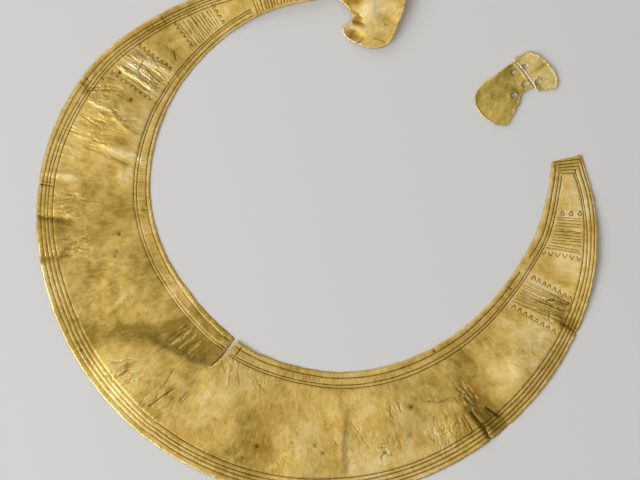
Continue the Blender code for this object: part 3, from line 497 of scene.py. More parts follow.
def snapped_end():
    inside = polar(BROKEN_HORN_ANGLE, inner_edge(BROKEN_HORN_ANGLE))
    outside = polar(BROKEN_HORN_ANGLE, outer_edge(BROKEN_HORN_ANGLE))
    share, proud = np.array(SNAPPED_END).T
    return inside + (outside - inside) * share[:, None] + polar(BROKEN_HORN_ANGLE + 90, 1.0) * proud[:, None]


def sheet_outline():
    """The edge of the crescent and its terminal, once round."""
    outer_angles = spread(BROKEN_HORN_ANGLE, WHOLE_HORN_ANGLE, OUTER_RADIUS, EDGE_STEP)
    inner_angles = spread(WHOLE_HORN_ANGLE, BROKEN_HORN_ANGLE, INNER_RADIUS, EDGE_STEP)
    clear = math.degrees(TEAR_GAP / inner_edge(TEAR_ANGLE)) + 0.2
    before = inner_angles[inner_angles < TEAR_ANGLE - clear]
    after = inner_angles[inner_angles > TEAR_ANGLE + clear]
    outer = polar(outer_angles, outer_edge(outer_angles))
    inner = [polar(angles, inner_edge(angles)) for angles in (before, after)]
    middle, along, outwards = terminal_frame()
    plate = [middle + along * u + outwards * v for u, v in TERMINAL_OUTLINE]
    plate = rounded([outer[-1], *plate, inner[0][0]], EDGE_STEP)[1:-1]
    depths = np.arange(0, TEAR_DEPTH, EDGE_STEP)
    tear = [tear_point(depths, -1), tear_point(np.array([TEAR_DEPTH]), 0), tear_point(depths[::-1], 1)]
    return np.concatenate([outer, plate, inner[0], *tear, inner[1], snapped_end()])


def turned_left(loop):
    """The closed outline with the metal on its left."""
    ahead = np.roll(loop, -1, axis=0)
    area = np.sum(loop[:, 0] * ahead[:, 1] - ahead[:, 0] * loop[:, 1])
    return loop if area > 0 else loop[::-1]


def into_metal(loop):
    """The unit direction into the metal at each point of a closed outline."""
    ahead = np.roll(loop, -1, axis=0) - np.roll(loop, 1, axis=0)
    side = np.stack([-ahead[:, 1], ahead[:, 0]], axis=1)
    return side / np.linalg.norm(side, axis=1)[:, None]


def worn(loop, amount, wave, dice):
    """The outline with the slight unevenness of a hammered and handled edge."""
    length = np.linalg.norm(np.roll(loop, -1, axis=0) - loop, axis=1)
    along = 2 * np.pi * np.cumsum(length) / length.sum()
    push = np.zeros(len(loop))
    for _ in range(10):
        turns = round(length.sum() / (wave * dice.uniform(0.5, 2.0)))
        push += np.sin(along * turns + dice.uniform(0, 2 * np.pi))
    return loop + into_metal(loop) * (amount * push / 3)[:, None]


def nicked(loop):
    """The outline with its nicks."""
    for angle, radius, depth, half_width in NICKS:
        away = np.linalg.norm(loop - polar(angle, radius), axis=1) / half_width
        loop = loop + into_metal(loop) * (depth * np.exp(-(away ** 2)))[:, None]
    return loop


def swell(points, rows):
    """The sum of soft ridges and hollows at each point."""
    total = np.zeros(len(points))
    for angle, radius, half_length, half_width, lean, height in rows:
        offset = points - polar(angle, radius)
        lengthways = offset @ polar(angle + lean, 1.0) / half_length
        crossways = offset @ polar(angle + lean + 90, 1.0) / half_width
        total += height * np.exp(-(lengthways ** 2) - crossways ** 2)
    return total


def tear_side(points):
    """How far each point is to the left of the tear's middle line, or of the line on outwards from its tip."""
    depth = np.clip(np.linalg.norm(points, axis=1) - inner_edge(TEAR_ANGLE), 0.0, TEAR_DEPTH)
    return (points - tear_point(depth, 0)) @ polar(TEAR_ANGLE - 90, 1.0)


def on_flap(points):
    """1 on the drooping flap, fading out over its fold and to the left, and 0 beyond the tear."""
    angles = angle_of(points)
    inside = (read_off(FLAP_FOLD, angles) - np.linalg.norm(points, axis=1)) / 3.0
    share = eased(inside) * eased((angles - FLAP_START) / 9.0)
    return np.where((tear_side(points) < 0) | (angles > 0), 0.0, share)


def flap_droop(points):
    """How far the flap has sunk from its fold at each point."""
    angles = angle_of(points)
    fold = read_off(FLAP_FOLD, angles)
    share = (fold - np.linalg.norm(points, axis=1)) / (fold - inner_edge(angles))
    return FLAP_DROOP * np.clip(share, 0.0, 1.0) * on_flap(points)


def on_terminal(points):
    """0 on the crescent and 1 on the terminal, changing over the neck."""
    middle, along, _ = terminal_frame()
    share = eased((points - middle) @ along / NECK_LENGTH)
    return np.where(angle_of(points) > WHOLE_HORN_ANGLE, 0.0, share)


def off_path(points, path):
    """How far each point is from a path, on which side (1 on its left, -1 on its right), and how far along it."""
    best = np.full(len(points), np.inf)
    along = np.zeros(len(points))
    side = np.zeros(len(points))
    lengths = np.linalg.norm(np.diff(path, axis=0), axis=1)
    reached = np.concatenate([[0], np.cumsum(lengths)])
    for i, (start, end) in enumerate(zip(path[:-1], path[1:])):
        span = end - start
        share = np.clip((points - start) @ span / (span @ span), 0.0, 1.0)
        offset = points - start
        away = np.linalg.norm(offset - span * share[:, None], axis=1)
        turned = (span[0] * offset[:, 1] - span[1] * offset[:, 0]) / (lengths[i] * np.maximum(away, 1e-6))
        along = np.where(away < best, (reached[i] + share * lengths[i]) / reached[-1], along)
        side = np.where(away < best, np.clip(turned, -1, 1), side)
        best = np.minimum(best, away)
    return best, side, along


def laid(path):
    """A smooth path through (angle, radius) points."""
    return rounded(polar(*np.array(path, float).T), 1.0)


def folds(points):
    """The sum of the broad folds, which fade out towards their ends."""
    total = np.zeros(len(points))
    for left_width, right_width, height, path in FOLDS:
        away, side, along = off_path(points, laid(path))
        half_width = (left_width + right_width + (left_width - right_width) * side) / 2
        fade = eased(4 * along + 0.35) * eased(4 * (1 - along) + 0.35)
        total += height * np.exp(-((away / half_width) ** 2)) * fade
    return total


def sheet_lie(points):
    """The height of the sheet's underside above what it lies on."""
    slack = swell(points, SWELLS) + folds(points) - flap_droop(points) - SLACK
    rest = KNEE * np.log1p(np.exp(slack / KNEE))
    rise = HORN_RISE * eased((angle_of(points) - HORN_RISE_FROM) / (WHOLE_HORN_ANGLE - HORN_RISE_FROM))
    middle, along, outwards = terminal_frame()
    on_plate = HORN_RISE + (points - middle) @ (TERMINAL_SLOPE * outwards + TERMINAL_TILT * along)
    on_plate += swell(points, TERMINAL_SWELLS)
    share = on_terminal(points)
    return (1 - share) * (rest + rise) + share * on_plate


def add(tree, kind, inputs=(), **settings):
    """Adds a node with its settings; an input is a value, or a socket to link from."""
    node = tree.nodes.new(kind)
    for name, value in settings.items():
        setattr(node, name, value)
    for key, value in dict(inputs).items():
        if isinstance(value, bpy.types.NodeSocket):
            tree.links.new(value, node.inputs[key])
        else:
            node.inputs[key].default_value = value
    return node


def new_group(name, sockets):
    """A Geometry Nodes tree with a geometry going in and out and the named inputs, and its input node."""
    tree = bpy.data.node_groups.new(name, "GeometryNodeTree")
    tree.interface.new_socket("Geometry", in_out="OUTPUT", socket_type="NodeSocketGeometry")
    for label, kind in (("Geometry", "Geometry"), *sockets):
        tree.interface.new_socket(label, in_out="INPUT", socket_type="NodeSocket" + kind)
    return tree, tree.nodes.new("NodeGroupInput").outputs


def end_group(tree, geometry_socket, material_socket):
    """Ends a tree in realised geometry with its material."""
    real = add(tree, "GeometryNodeRealizeInstances", {0: geometry_socket})
    dressed = add(tree, "GeometryNodeSetMaterial", {"Geometry": real.outputs[0], "Material": material_socket})
    add(tree, "NodeGroupOutput", {0: dressed.outputs[0]})


def grown(tree, mesh, values):
    """The plain mesh that a tree makes of a mesh, with the tree's named inputs set."""
    carrier = bpy.data.objects.new("carrier", mesh)
    bpy.context.scene.collection.objects.link(carrier)
    modifier = carrier.modifiers.new("nodes", "NODES")
    modifier.node_group = tree
    sockets = {item.name: item.identifier for item in tree.interface.items_tree if item.in_out == "INPUT"}
    for label, value in values.items():
        modifier[sockets[label]] = value
    carrier.update_tag()
    bpy.context.view_layer.update()
    graph = bpy.context.evaluated_depsgraph_get()
    made = bpy.data.meshes.new_from_object(carrier.evaluated_get(graph))
    bpy.data.objects.remove(carrier)
    return made


def mark_row_tree():
    """Wedge marks along a guide line: each has two legs that meet at its tip, and a foot line if asked for.
    The guide's points say how far a mark reaches and which way it is turned."""
    tree, given = new_group("row_of_marks", (
        ("Pitch", "Float"), ("Half width", "Float"), ("Foot line", "Bool"), ("Unevenness", "Float"),
        ("Seed", "Int"), ("Material", "Material"),
    ))
    guide = add(tree, "GeometryNodeMeshToCurve", {"Mesh": given["Geometry"]})
    spots = add(tree, "GeometryNodeCurveToPoints", {"Curve": guide.outputs[0], "Length": given["Pitch"]}, mode="LENGTH")
    left = add(tree, "ShaderNodeMath", {0: given["Half width"], 1: -1.0}, operation="MULTIPLY")
    left_foot = add(tree, "ShaderNodeCombineXYZ", {"X": left.outputs[0]})
    right_foot = add(tree, "ShaderNodeCombineXYZ", {"X": given["Half width"]})
    tip = add(tree, "ShaderNodeCombineXYZ", {"Y": 1.0})
    legs = [
        add(tree, "GeometryNodeMeshLine", {
            "Count": 2, "Start Location": start.outputs[0], "Offset": end.outputs[0],
        }, mode="END_POINTS")
        for start, end in ((left_foot, tip), (tip, right_foot), (left_foot, right_foot))
    ]
    foot = add(tree, "GeometryNodeSwitch", {"Switch": given["Foot line"], "True": legs[2].outputs[0]})
    mark = add(tree, "GeometryNodeJoinGeometry")
    for leg in (*legs[:2], foot):
        tree.links.new(leg.outputs[0], mark.inputs[0])
    reach, turn = (
        add(tree, "GeometryNodeInputNamedAttribute", {"Name": name}, data_type="FLOAT").outputs[0]
        for name in ("reach", "turn")
    )
    size = add(tree, "ShaderNodeCombineXYZ", {"X": 1.0, "Y": reach, "Z": 1.0})
    least = add(tree, "ShaderNodeMath", {0: given["Unevenness"], 1: -1.0}, operation="MULTIPLY")
    chance = add(tree, "FunctionNodeRandomValue", {
        2: least.outputs[0], 3: given["Unevenness"], "Seed": given["Seed"],
    }, data_type="FLOAT")
    turned = add(tree, "ShaderNodeMath", {0: turn, 1: chance.outputs[1]}, operation="ADD")
    facing = add(tree, "ShaderNodeCombineXYZ", {"Z": turned.outputs[0]})
    row = add(tree, "GeometryNodeInstanceOnPoints", {
        "Points": spots.outputs["Points"], "Instance": mark.outputs[0], "Rotation": facing.outputs[0],
        "Scale": size.outputs[0],
    })
    end_group(tree, row.outputs[0], given["Material"])
    return tree


def row_of_marks(tree, guide, reach, turn, count, half_width, foot, seed, material):
    """Straight strokes, each as two points, that a row of marks along a guide line takes."""
    mesh = bpy.data.meshes.new("guide")
    mesh.from_pydata([(x * MM, y * MM, 0) for x, y in guide], [(i, i + 1) for i in range(len(guide) - 1)], [])
    give(mesh, "reach", np.broadcast_to(reach, len(guide)) * MM)
    give(mesh, "turn", np.radians(np.broadcast_to(turn, len(guide))))
    pitch = np.linalg.norm(np.diff(guide, axis=0), axis=1).sum() / (count - 0.9)
    made = grown(tree, mesh, {
        "Pitch": pitch * MM, "Half width": half_width * MM, "Foot line": foot, "Unevenness": math.radians(4),
        "Seed": seed, "Material": material,
    })
    corners = np.array([vertex.co.xy for vertex in made.vertices]) / MM
    strokes = [corners[list(edge.vertices)] for edge in made.edges]
    bpy.data.meshes.remove(made)
    return strokes


def cut_by_hand(strokes, dice):
    """The strokes of a group with uneven ends, some of them made in two goes that don't quite meet."""
    made = []
    for start, end in strokes:
        ahead = end - start
        start, end = start + ahead * dice.uniform(0, 0.06), end - ahead * dice.uniform(0, 0.08)
        if dice.uniform() < 0.3:
            share = dice.uniform(0.3, 0.7)
            side = np.array([-ahead[1], ahead[0]]) / np.linalg.norm(ahead) * dice.uniform(-0.3, 0.3)
            made.append(np.stack([start, start + (end - start) * (share - 0.03)]))
            made.append(np.stack([start + (end - start) * (share + 0.03), end]) + side)
        else:
            made.append(np.stack([start, end]))
    return made


def hand_wobble(angles, dice):
    """The slight wandering of a line drawn by hand along an edge."""
    turns = dice.uniform(6, 40, 5)
    phases = dice.uniform(0, 2 * np.pi, 5)
    return LINE_WOBBLE * sum(np.sin(np.radians(angles) * n + phase) for n, phase in zip(turns, phases)) / 2


def panel(angles):
    """The radii between which the plain field lies, inside both borders."""
    inside = inner_edge(angles) + read_off(INNER_LINES[-1], angles) + 0.6
    outside = outer_edge(angles) - read_off(OUTER_LINES[-1], angles) - 0.5
    return inside, outside


def border_lines(dice):
    """The engraved lines along both edges, each a run of points."""
    runs = []
    for line, stop in zip(OUTER_LINES, OUTER_LINE_ENDS):
        angles = spread(stop, LINES_START, OUTER_RADIUS, LINE_STEP)
        runs.append(polar(angles, outer_edge(angles) - read_off(line, angles) + hand_wobble(angles, dice)))
    gap = math.degrees(1.1 * TEAR_GAP / inner_edge(TEAR_ANGLE))
    for i, (line, stop) in enumerate(zip(INNER_LINES, INNER_LINE_ENDS)):
        angles = spread(LINES_START, stop, INNER_RADIUS, LINE_STEP)
        sides = [angles[angles < TEAR_ANGLE - gap], angles[angles > TEAR_ANGLE + gap]]
        if i == 0:
            sides[1:] = [sides[1][sides[1] < LINE_BREAK[0]], sides[1][sides[1] > LINE_BREAK[1]]]
        for side in sides:
            runs.append(polar(side, inner_edge(side) + read_off(line, side) + hand_wobble(side, dice)))
    return runs


def end_lines():
    """The short engraved lines along the snapped end, each shorter than the last."""
    runs = []
    for i in range(END_LINE_COUNT):
        angle = BROKEN_HORN_ANGLE - math.degrees((1.0 + i * END_LINE_PITCH) / OUTER_RADIUS)
        inside = inner_edge(angle) + 1.6 + 0.75 * i
        outside = outer_edge(angle) - 0.7 - 0.85 * i
        radii = np.linspace(inside, outside, 14)
        runs.append(polar(angle - 0.25 * np.linspace(-1, 1, 14), radii))
    return runs


def engraved_marks(material):
    """Every repeated mark as (strokes, depth share): the groups across the horns, the wedges and the ladders."""
    tree = mark_row_tree()
    dice = np.random.default_rng(SEED + 2)
    families = []
    for i, (first, last, outer_first, outer_last, count, share) in enumerate(CROSS_GROUPS):
        angles, outer_angles = np.linspace(first, last, 14), np.linspace(outer_first, outer_last, 14)
        inside, outside = panel(angles)[0], panel(outer_angles)[1]
        if i == 0:
            inside, outside = inner_edge(angles) + 0.9, outer_edge(angles) - 0.9
        guide = polar(angles, inside)
        ahead = polar(outer_angles, outside) - guide
        turn = np.degrees(np.unwrap(np.arctan2(-ahead[:, 0], ahead[:, 1])))
        reach = np.linalg.norm(ahead, axis=1)
        strokes = row_of_marks(tree, guide, reach, turn, count, 0.0, False, SEED + i, material)
        families.append((cut_by_hand(strokes[::2], dice), share))
    for i, (start, end, count, reach, half_width, foot) in enumerate(WEDGE_ROWS):
        guide = np.stack([polar(*start), polar(*end)])
        turn = np.array([start[0], end[0]]) - 90
        strokes = row_of_marks(tree, guide, reach, turn, count, half_width, foot, SEED + 20 + i, material)
        families.append((strokes, WEDGE_DEPTH))
    for i, (first, last) in enumerate(LADDERS):
        angles = spread(first, last, INNER_RADIUS, LADDER_PITCH)
        near, far = (inner_edge(angles) + read_off(line, angles) for line in INNER_LINES[:2])
        guide = polar(angles, near + 0.5)
        strokes = row_of_marks(
            tree, guide, far - near - 1.0, angles + 180, len(angles), 0.0, False, SEED + 40 + i, material,
        )
        families.append((strokes[::2], LADDER_DEPTH))
    return families


def refined(run, step):
    """The run of points with more between them, so that none are further apart than step."""
    pieces = []
    for start, end in zip(run[:-1], run[1:]):
        count = max(1, math.ceil(np.linalg.norm(end - start) / step))
        pieces.append(start + (end - start) * np.arange(count)[:, None] / count)
    return np.concatenate([*pieces, run[-1:]])


def stroke_rows(run, half_width):
    """The bottom of one stroke and its two lips, which meet at its tips."""
    run = refined(run, LINE_STEP)
    start = run[1] - run[0]
    end = run[-2] - run[-1]
    bottom = run.copy()
    bottom[0] += start * min(0.4, half_width / np.linalg.norm(start))
    bottom[-1] += end * min(0.4, half_width / np.linalg.norm(end))
    ahead = np.gradient(bottom, axis=0)
    side = np.stack([-ahead[:, 1], ahead[:, 0]], axis=1) / np.linalg.norm(ahead, axis=1)[:, None]
    lips = [np.concatenate([run[:1], bottom + side * turn * half_width, run[-1:]]) for turn in (-1, 1)]
    return bottom, lips


def crinkles(dice):
    """Short bent wrinkles, scattered over each patch; about half of them are sunk and darkened with a little dirt and
    painted shade.
    """
    strokes = []
    for angle, radius, half_length, half_width, lean, number, height in CRINKLES:
        for _ in range(number):
            away, turn = math.sqrt(dice.uniform()), dice.uniform(0, 2 * np.pi)
            middle = polar(angle, radius) + polar(angle + lean, half_length * away * math.cos(turn))
            middle = middle + polar(angle + lean + 90, half_width * away * math.sin(turn))
            heading = angle + lean + dice.normal(0, 9)
            reach = dice.uniform(*CRINKLE_LENGTH) / 2
            bend = polar(heading + 90, dice.uniform(-0.15, 0.15) * reach)
            path = np.stack([middle - polar(heading, reach), middle + bend, middle + polar(heading, reach)])
            tall = height * dice.uniform(0.5, 1.0) * dice.choice((-1, 1))
            dirt_and_painted_shade = CRINKLE_DIRT_AND_SHADE if tall < 0 else 0.0
            strokes.append((rounded(path, 1.0), dice.uniform(*CRINKLE_HALF_WIDTH), -tall, dirt_and_painted_shade))
    return strokes


def within(strokes, outline, reach):
    """The strokes that keep clear of the edge."""
    edge = tree_of(outline)
    kept = []
    for stroke in strokes:
        if min(edge.find((x, y, 0.0))[2] for x, y in stroke[0]) > reach:
            kept.append(stroke)
    return kept


def sheet_strokes(outline, line_material):
    """Everything that is scribed or crumpled into the sheet, as (path, half width, depth, dirt and painted shade)."""
    dice = np.random.default_rng(SEED + 1)
    strokes = [(run, LINE_HALF_WIDTH, LINE_DEPTH, 1.0) for run in border_lines(dice) + end_lines()]
    for marks, share in engraved_marks(line_material):
        strokes += [(run, LINE_HALF_WIDTH, LINE_DEPTH * share, share) for run in marks]
    for half_width, height, dirt_and_painted_shade, path in WRINKLES:
        strokes.append((laid(path), half_width, -height, dirt_and_painted_shade))
    strokes += crinkles(dice)
    return [
        stroke for stroke in within(strokes, outline, 0.35)
        if inside_loops([outline], stroke[0]).all()
    ]


def tree_of(points):
    tree = kdtree.KDTree(len(points))
    for i, (x, y) in enumerate(points):
        tree.insert((x, y, 0.0), i)
    tree.balance()
    return tree


def inside_loops(loops, points):
    """Whether each point is in the metal between the outlines."""
    found = np.zeros(len(points), bool)
    x, y = points[:, 0], points[:, 1]
    for loop in loops:
        for (ax, ay), (bx, by) in zip(loop, np.roll(loop, -1, axis=0)):
            if ay == by:
                continue
            crossed = ((ay > y) != (by > y)) & (x < ax + (y - ay) * (bx - ax) / (by - ay))
            found ^= crossed
    return found


def field_points(loops, step, dice):
    """A jittered triangular grid over the metal."""
    every = np.concatenate(loops)
    low, high = every.min(axis=0), every.max(axis=0)
    xs = np.arange(low[0], high[0], step)
    ys = np.arange(low[1], high[1], step * math.sqrt(3) / 2)
    grid = np.stack(np.meshgrid(xs, ys), axis=-1)
    grid[1::2, :, 0] += step / 2
    grid = grid.reshape(-1, 2) + dice.uniform(-0.2, 0.2, (len(xs) * len(ys), 2)) * step
    return grid[inside_loops(loops, grid)]


def far_from(points, others, reach):
    tree = tree_of(others)
    return points[[tree.find((x, y, 0.0))[2] > reach for x, y in points]]


def triangulated(loops, runs, loose):
    """(points, triangles, where each point of the outlines went) of a flat plan with the runs as edges of it."""
    places = list(loops) + list(runs)
    first = np.cumsum([0] + [len(run) for run in places])
    edges = []
    for run, start in zip(places[:len(loops)], first):
        edges += [(start + i, start + (i + 1) % len(run)) for i in range(len(run))]
    for run, start in zip(runs, first[len(loops):]):
        edges += [(start + i, start + i + 1) for i in range(len(run) - 1)]
    every = np.concatenate([*places, loose])
    made = geometry.delaunay_2d_cdt([Vector(p) for p in every], edges, [], 0, 1e-4)
    points = np.array(made[0])
    triangles = np.array(made[2])
    rim = {source: new for new, sources in enumerate(made[3]) for source in sources if source < first[len(loops)]}
    triangles = triangles[inside_loops(loops, points[triangles].mean(axis=1))]
    used = np.unique(triangles)
    index = np.full(len(points), -1)
    index[used] = np.arange(len(used))
    rims = [index[[rim[start + i] for i in range(len(loop))]] for loop, start in zip(loops, first)]
    return points[used], index[triangles], rims


def carved(points, strokes, bottoms):
    """What the strokes do at each point: how deep it is sunk in millimetres, its share of a bank, and its dirt and
    painted shade.
    """
    counts = [len(bottom) - 1 for bottom in bottoms]
    half, depth, dirt_and_painted_shade = (np.repeat([stroke[i] for stroke in strokes], counts) for i in (1, 2, 3))
    starts = np.concatenate([run[:-1] for run in bottoms])
    ends = np.concatenate([run[1:] for run in bottoms])
    tree = tree_of(points)
    reach = 2 * LINE_BANK_REACH + LINE_STEP / 2
    pairs = [
        (i, j) for j, (x, y) in enumerate((starts + ends) / 2) for _, i, _ in tree.find_range((x, y, 0.0), reach)
    ]
    at, line = np.array(pairs).T
    span = ends[line] - starts[line]
    offset = points[at] - starts[line]
    share = np.clip((offset * span).sum(axis=1) / (span * span).sum(axis=1), 0.0, 1.0)
    away = np.linalg.norm(offset - span * share[:, None], axis=1)
    profile = np.clip(1 - away / half[line], 0.0, 1.0)
    sunk, raised, bank, dirt_and_shade = (np.zeros(len(points)) for _ in range(4))
    np.maximum.at(sunk, at, np.clip(depth[line], 0, None) * profile)
    np.maximum.at(raised, at, np.clip(-depth[line], 0, None) * profile)
    np.maximum.at(bank, at, dirt_and_painted_shade[line] * np.exp(-((away / LINE_BANK_REACH) ** 2)))
    np.maximum.at(dirt_and_shade, at, dirt_and_painted_shade[line] * np.clip(1.7 * profile, 0, 1))
    return sunk - raised, bank, dirt_and_shade


def pitted(points):
    """How deep the pits sink each point, and the dirt and painted shade in them."""
    sunk, dirt_and_shade = np.zeros(len(points)), np.zeros(len(points))
    for angle, radius, size, depth, dirt_and_painted_shade in PITS:
        away = np.linalg.norm(points - polar(angle, radius), axis=1) / size
        sunk += depth * np.exp(-(away ** 2))
        dirt_and_shade = np.maximum(dirt_and_shade, dirt_and_painted_shade * np.exp(-((away * 1.3) ** 2)))
    return sunk, dirt_and_shade


def plate_tree():
    """Turns a flat closed plan into hammered metal: it lies as its attribute says, with its thickness and dents."""
    tree, given = new_group("hammered_plate", (
        ("Thickness", "Float"), ("Bank depth", "Float"), ("Dent size", "Float"), ("Dent depth", "Float"),
        ("Crumple size", "Float"), ("Crumple depth", "Float"), ("Seed", "Float"), ("Material", "Material"),
    ))

    def field(name):
        return add(tree, "GeometryNodeInputNamedAttribute", {"Name": name}, data_type="FLOAT").outputs[0]

    def sum_of(operation, a, b):
        return add(tree, "ShaderNodeMath", {0: a, 1: b}, operation=operation).outputs[0]

    banks = sum_of("MULTIPLY", field("bank"), given["Bank depth"])
    scale = sum_of("DIVIDE", 1.0, given["Dent size"])
    noise = add(tree, "ShaderNodeTexNoise", {"W": given["Seed"], "Scale": scale, "Detail": 1.0}, noise_dimensions="4D")
    dents = sum_of("MULTIPLY", sum_of("SUBTRACT", noise.outputs[0], 0.5), given["Dent depth"])
    lengthways = sum_of("MULTIPLY", field("lengthways"), 0.3)
    grain = add(tree, "ShaderNodeCombineXYZ", {"X": field("across"), "Y": lengthways, "Z": given["Seed"]})
    fine_scale = sum_of("DIVIDE", 1.0, given["Crumple size"])
    ripple = add(tree, "ShaderNodeTexNoise", {
        "Vector": grain.outputs[0], "Scale": fine_scale, "Detail": 1.0, "Distortion": 1.0,
    })
    ripples = sum_of("MULTIPLY", sum_of("SUBTRACT", ripple.outputs[0], 0.5), given["Crumple depth"])
    ripples = sum_of("MULTIPLY", ripples, field("crumpled"))
    thickness = sum_of("ADD", given["Thickness"], field("extra"))
    proud = sum_of("ADD", sum_of("ADD", thickness, dents), ripples)
    proud = sum_of("SUBTRACT", sum_of("SUBTRACT", proud, field("sunk")), banks)
    height = sum_of("ADD", field("lie"), sum_of("MULTIPLY", field("upper"), proud))
    offset = add(tree, "ShaderNodeCombineXYZ", {"Z": height})
    placed = add(tree, "GeometryNodeSetPosition", {"Geometry": given["Geometry"], "Offset": offset.outputs[0]})
    smooth = add(tree, "GeometryNodeSetShadeSmooth", {"Geometry": placed.outputs[0]})
    end_group(tree, smooth.outputs[0], given["Material"])
    return tree


def flat_plan(name, loops, step, rim_width, strokes, dice):
    """A closed flat mesh in two layers with a rim between them, with its points and what the strokes do there."""
    rims = [loop + into_metal(loop) * rim_width for loop in loops]
    rows = [stroke_rows(stroke[0], stroke[1]) for stroke in strokes]
    bottoms = [bottom for bottom, _ in rows]
    runs = [*bottoms, *(lip for _, lips in rows for lip in lips)]
    loose = far_from(field_points(rims, step, dice), np.concatenate([*rims, *runs]), 0.45 * step)
    top, top_faces, top_rims = triangulated(rims, runs, loose)
    loose = far_from(field_points(loops, UNDERSIDE_STEP, dice), np.concatenate(loops), 0.45 * UNDERSIDE_STEP)
    under, under_faces, under_rims = triangulated(loops, [], loose)
    faces = top_faces.tolist() + (under_faces + len(top))[:, ::-1].tolist()
    for high, low in zip(top_rims, under_rims):
        corners = [low + len(top), np.roll(low, -1) + len(top), np.roll(high, -1), high]
        faces += np.stack(corners, axis=1).tolist()
    points = np.concatenate([top, under])
    mesh = bpy.data.meshes.new(name)
    mesh.from_pydata(np.column_stack([points * MM, np.zeros(len(points))]).tolist(), [], faces)
    upper, sunk, bank, dirt_and_shade = (np.zeros(len(points)) for _ in range(4))
    upper[:len(top)] = 1.0
    upper[len(top) + np.concatenate(under_rims)] = RIM_SHARE
    if strokes:
        sunk[:len(top)], bank[:len(top)], dirt_and_shade[:len(top)] = carved(top, strokes, bottoms)
    give(mesh, "upper", upper)
    give(mesh, "bank", bank)
    return mesh, points, sunk, dirt_and_shade


def give(mesh, name, values):
    mesh.attributes.new(name, "FLOAT", "POINT").data.foreach_set("value", values.astype(np.float32))


def placed(mesh, place):
    """Moves the finished mesh from the centre of the outer edge's own frame to where the solid lies."""
    corners = np.empty(len(mesh.vertices) * 3)
    mesh.vertices.foreach_get("co", corners)
    corners = corners.reshape(-1, 3) + np.array([place[0], place[1], 0.0]) * MM
    mesh.vertices.foreach_set("co", corners.ravel())
    mesh.update()


def edge_centre():
    """Where the centre of the outer edge is in the frame, from the sheet's box."""
    low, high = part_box("lunula_sheet")
    outline = sheet_outline()
    middle = (outline.min(axis=0) + outline.max(axis=0)) / 2
    return np.array([(low[0] + high[0]) / 2, (low[1] + high[1]) / 2]) / MM - middle


def linear(code):
    """The linear colour of an sRGB hex value."""
    parts = [int(code[i:i + 2], 16) / 255 for i in (1, 3, 5)]
    return (*(p / 12.92 if p <= 0.04045 else ((p + 0.055) / 1.055) ** 2.4 for p in parts), 1.0)


def per(millimetres):
    """The texture scale at which a pattern's parts are about this far apart."""
    return 1 / (millimetres * MM)


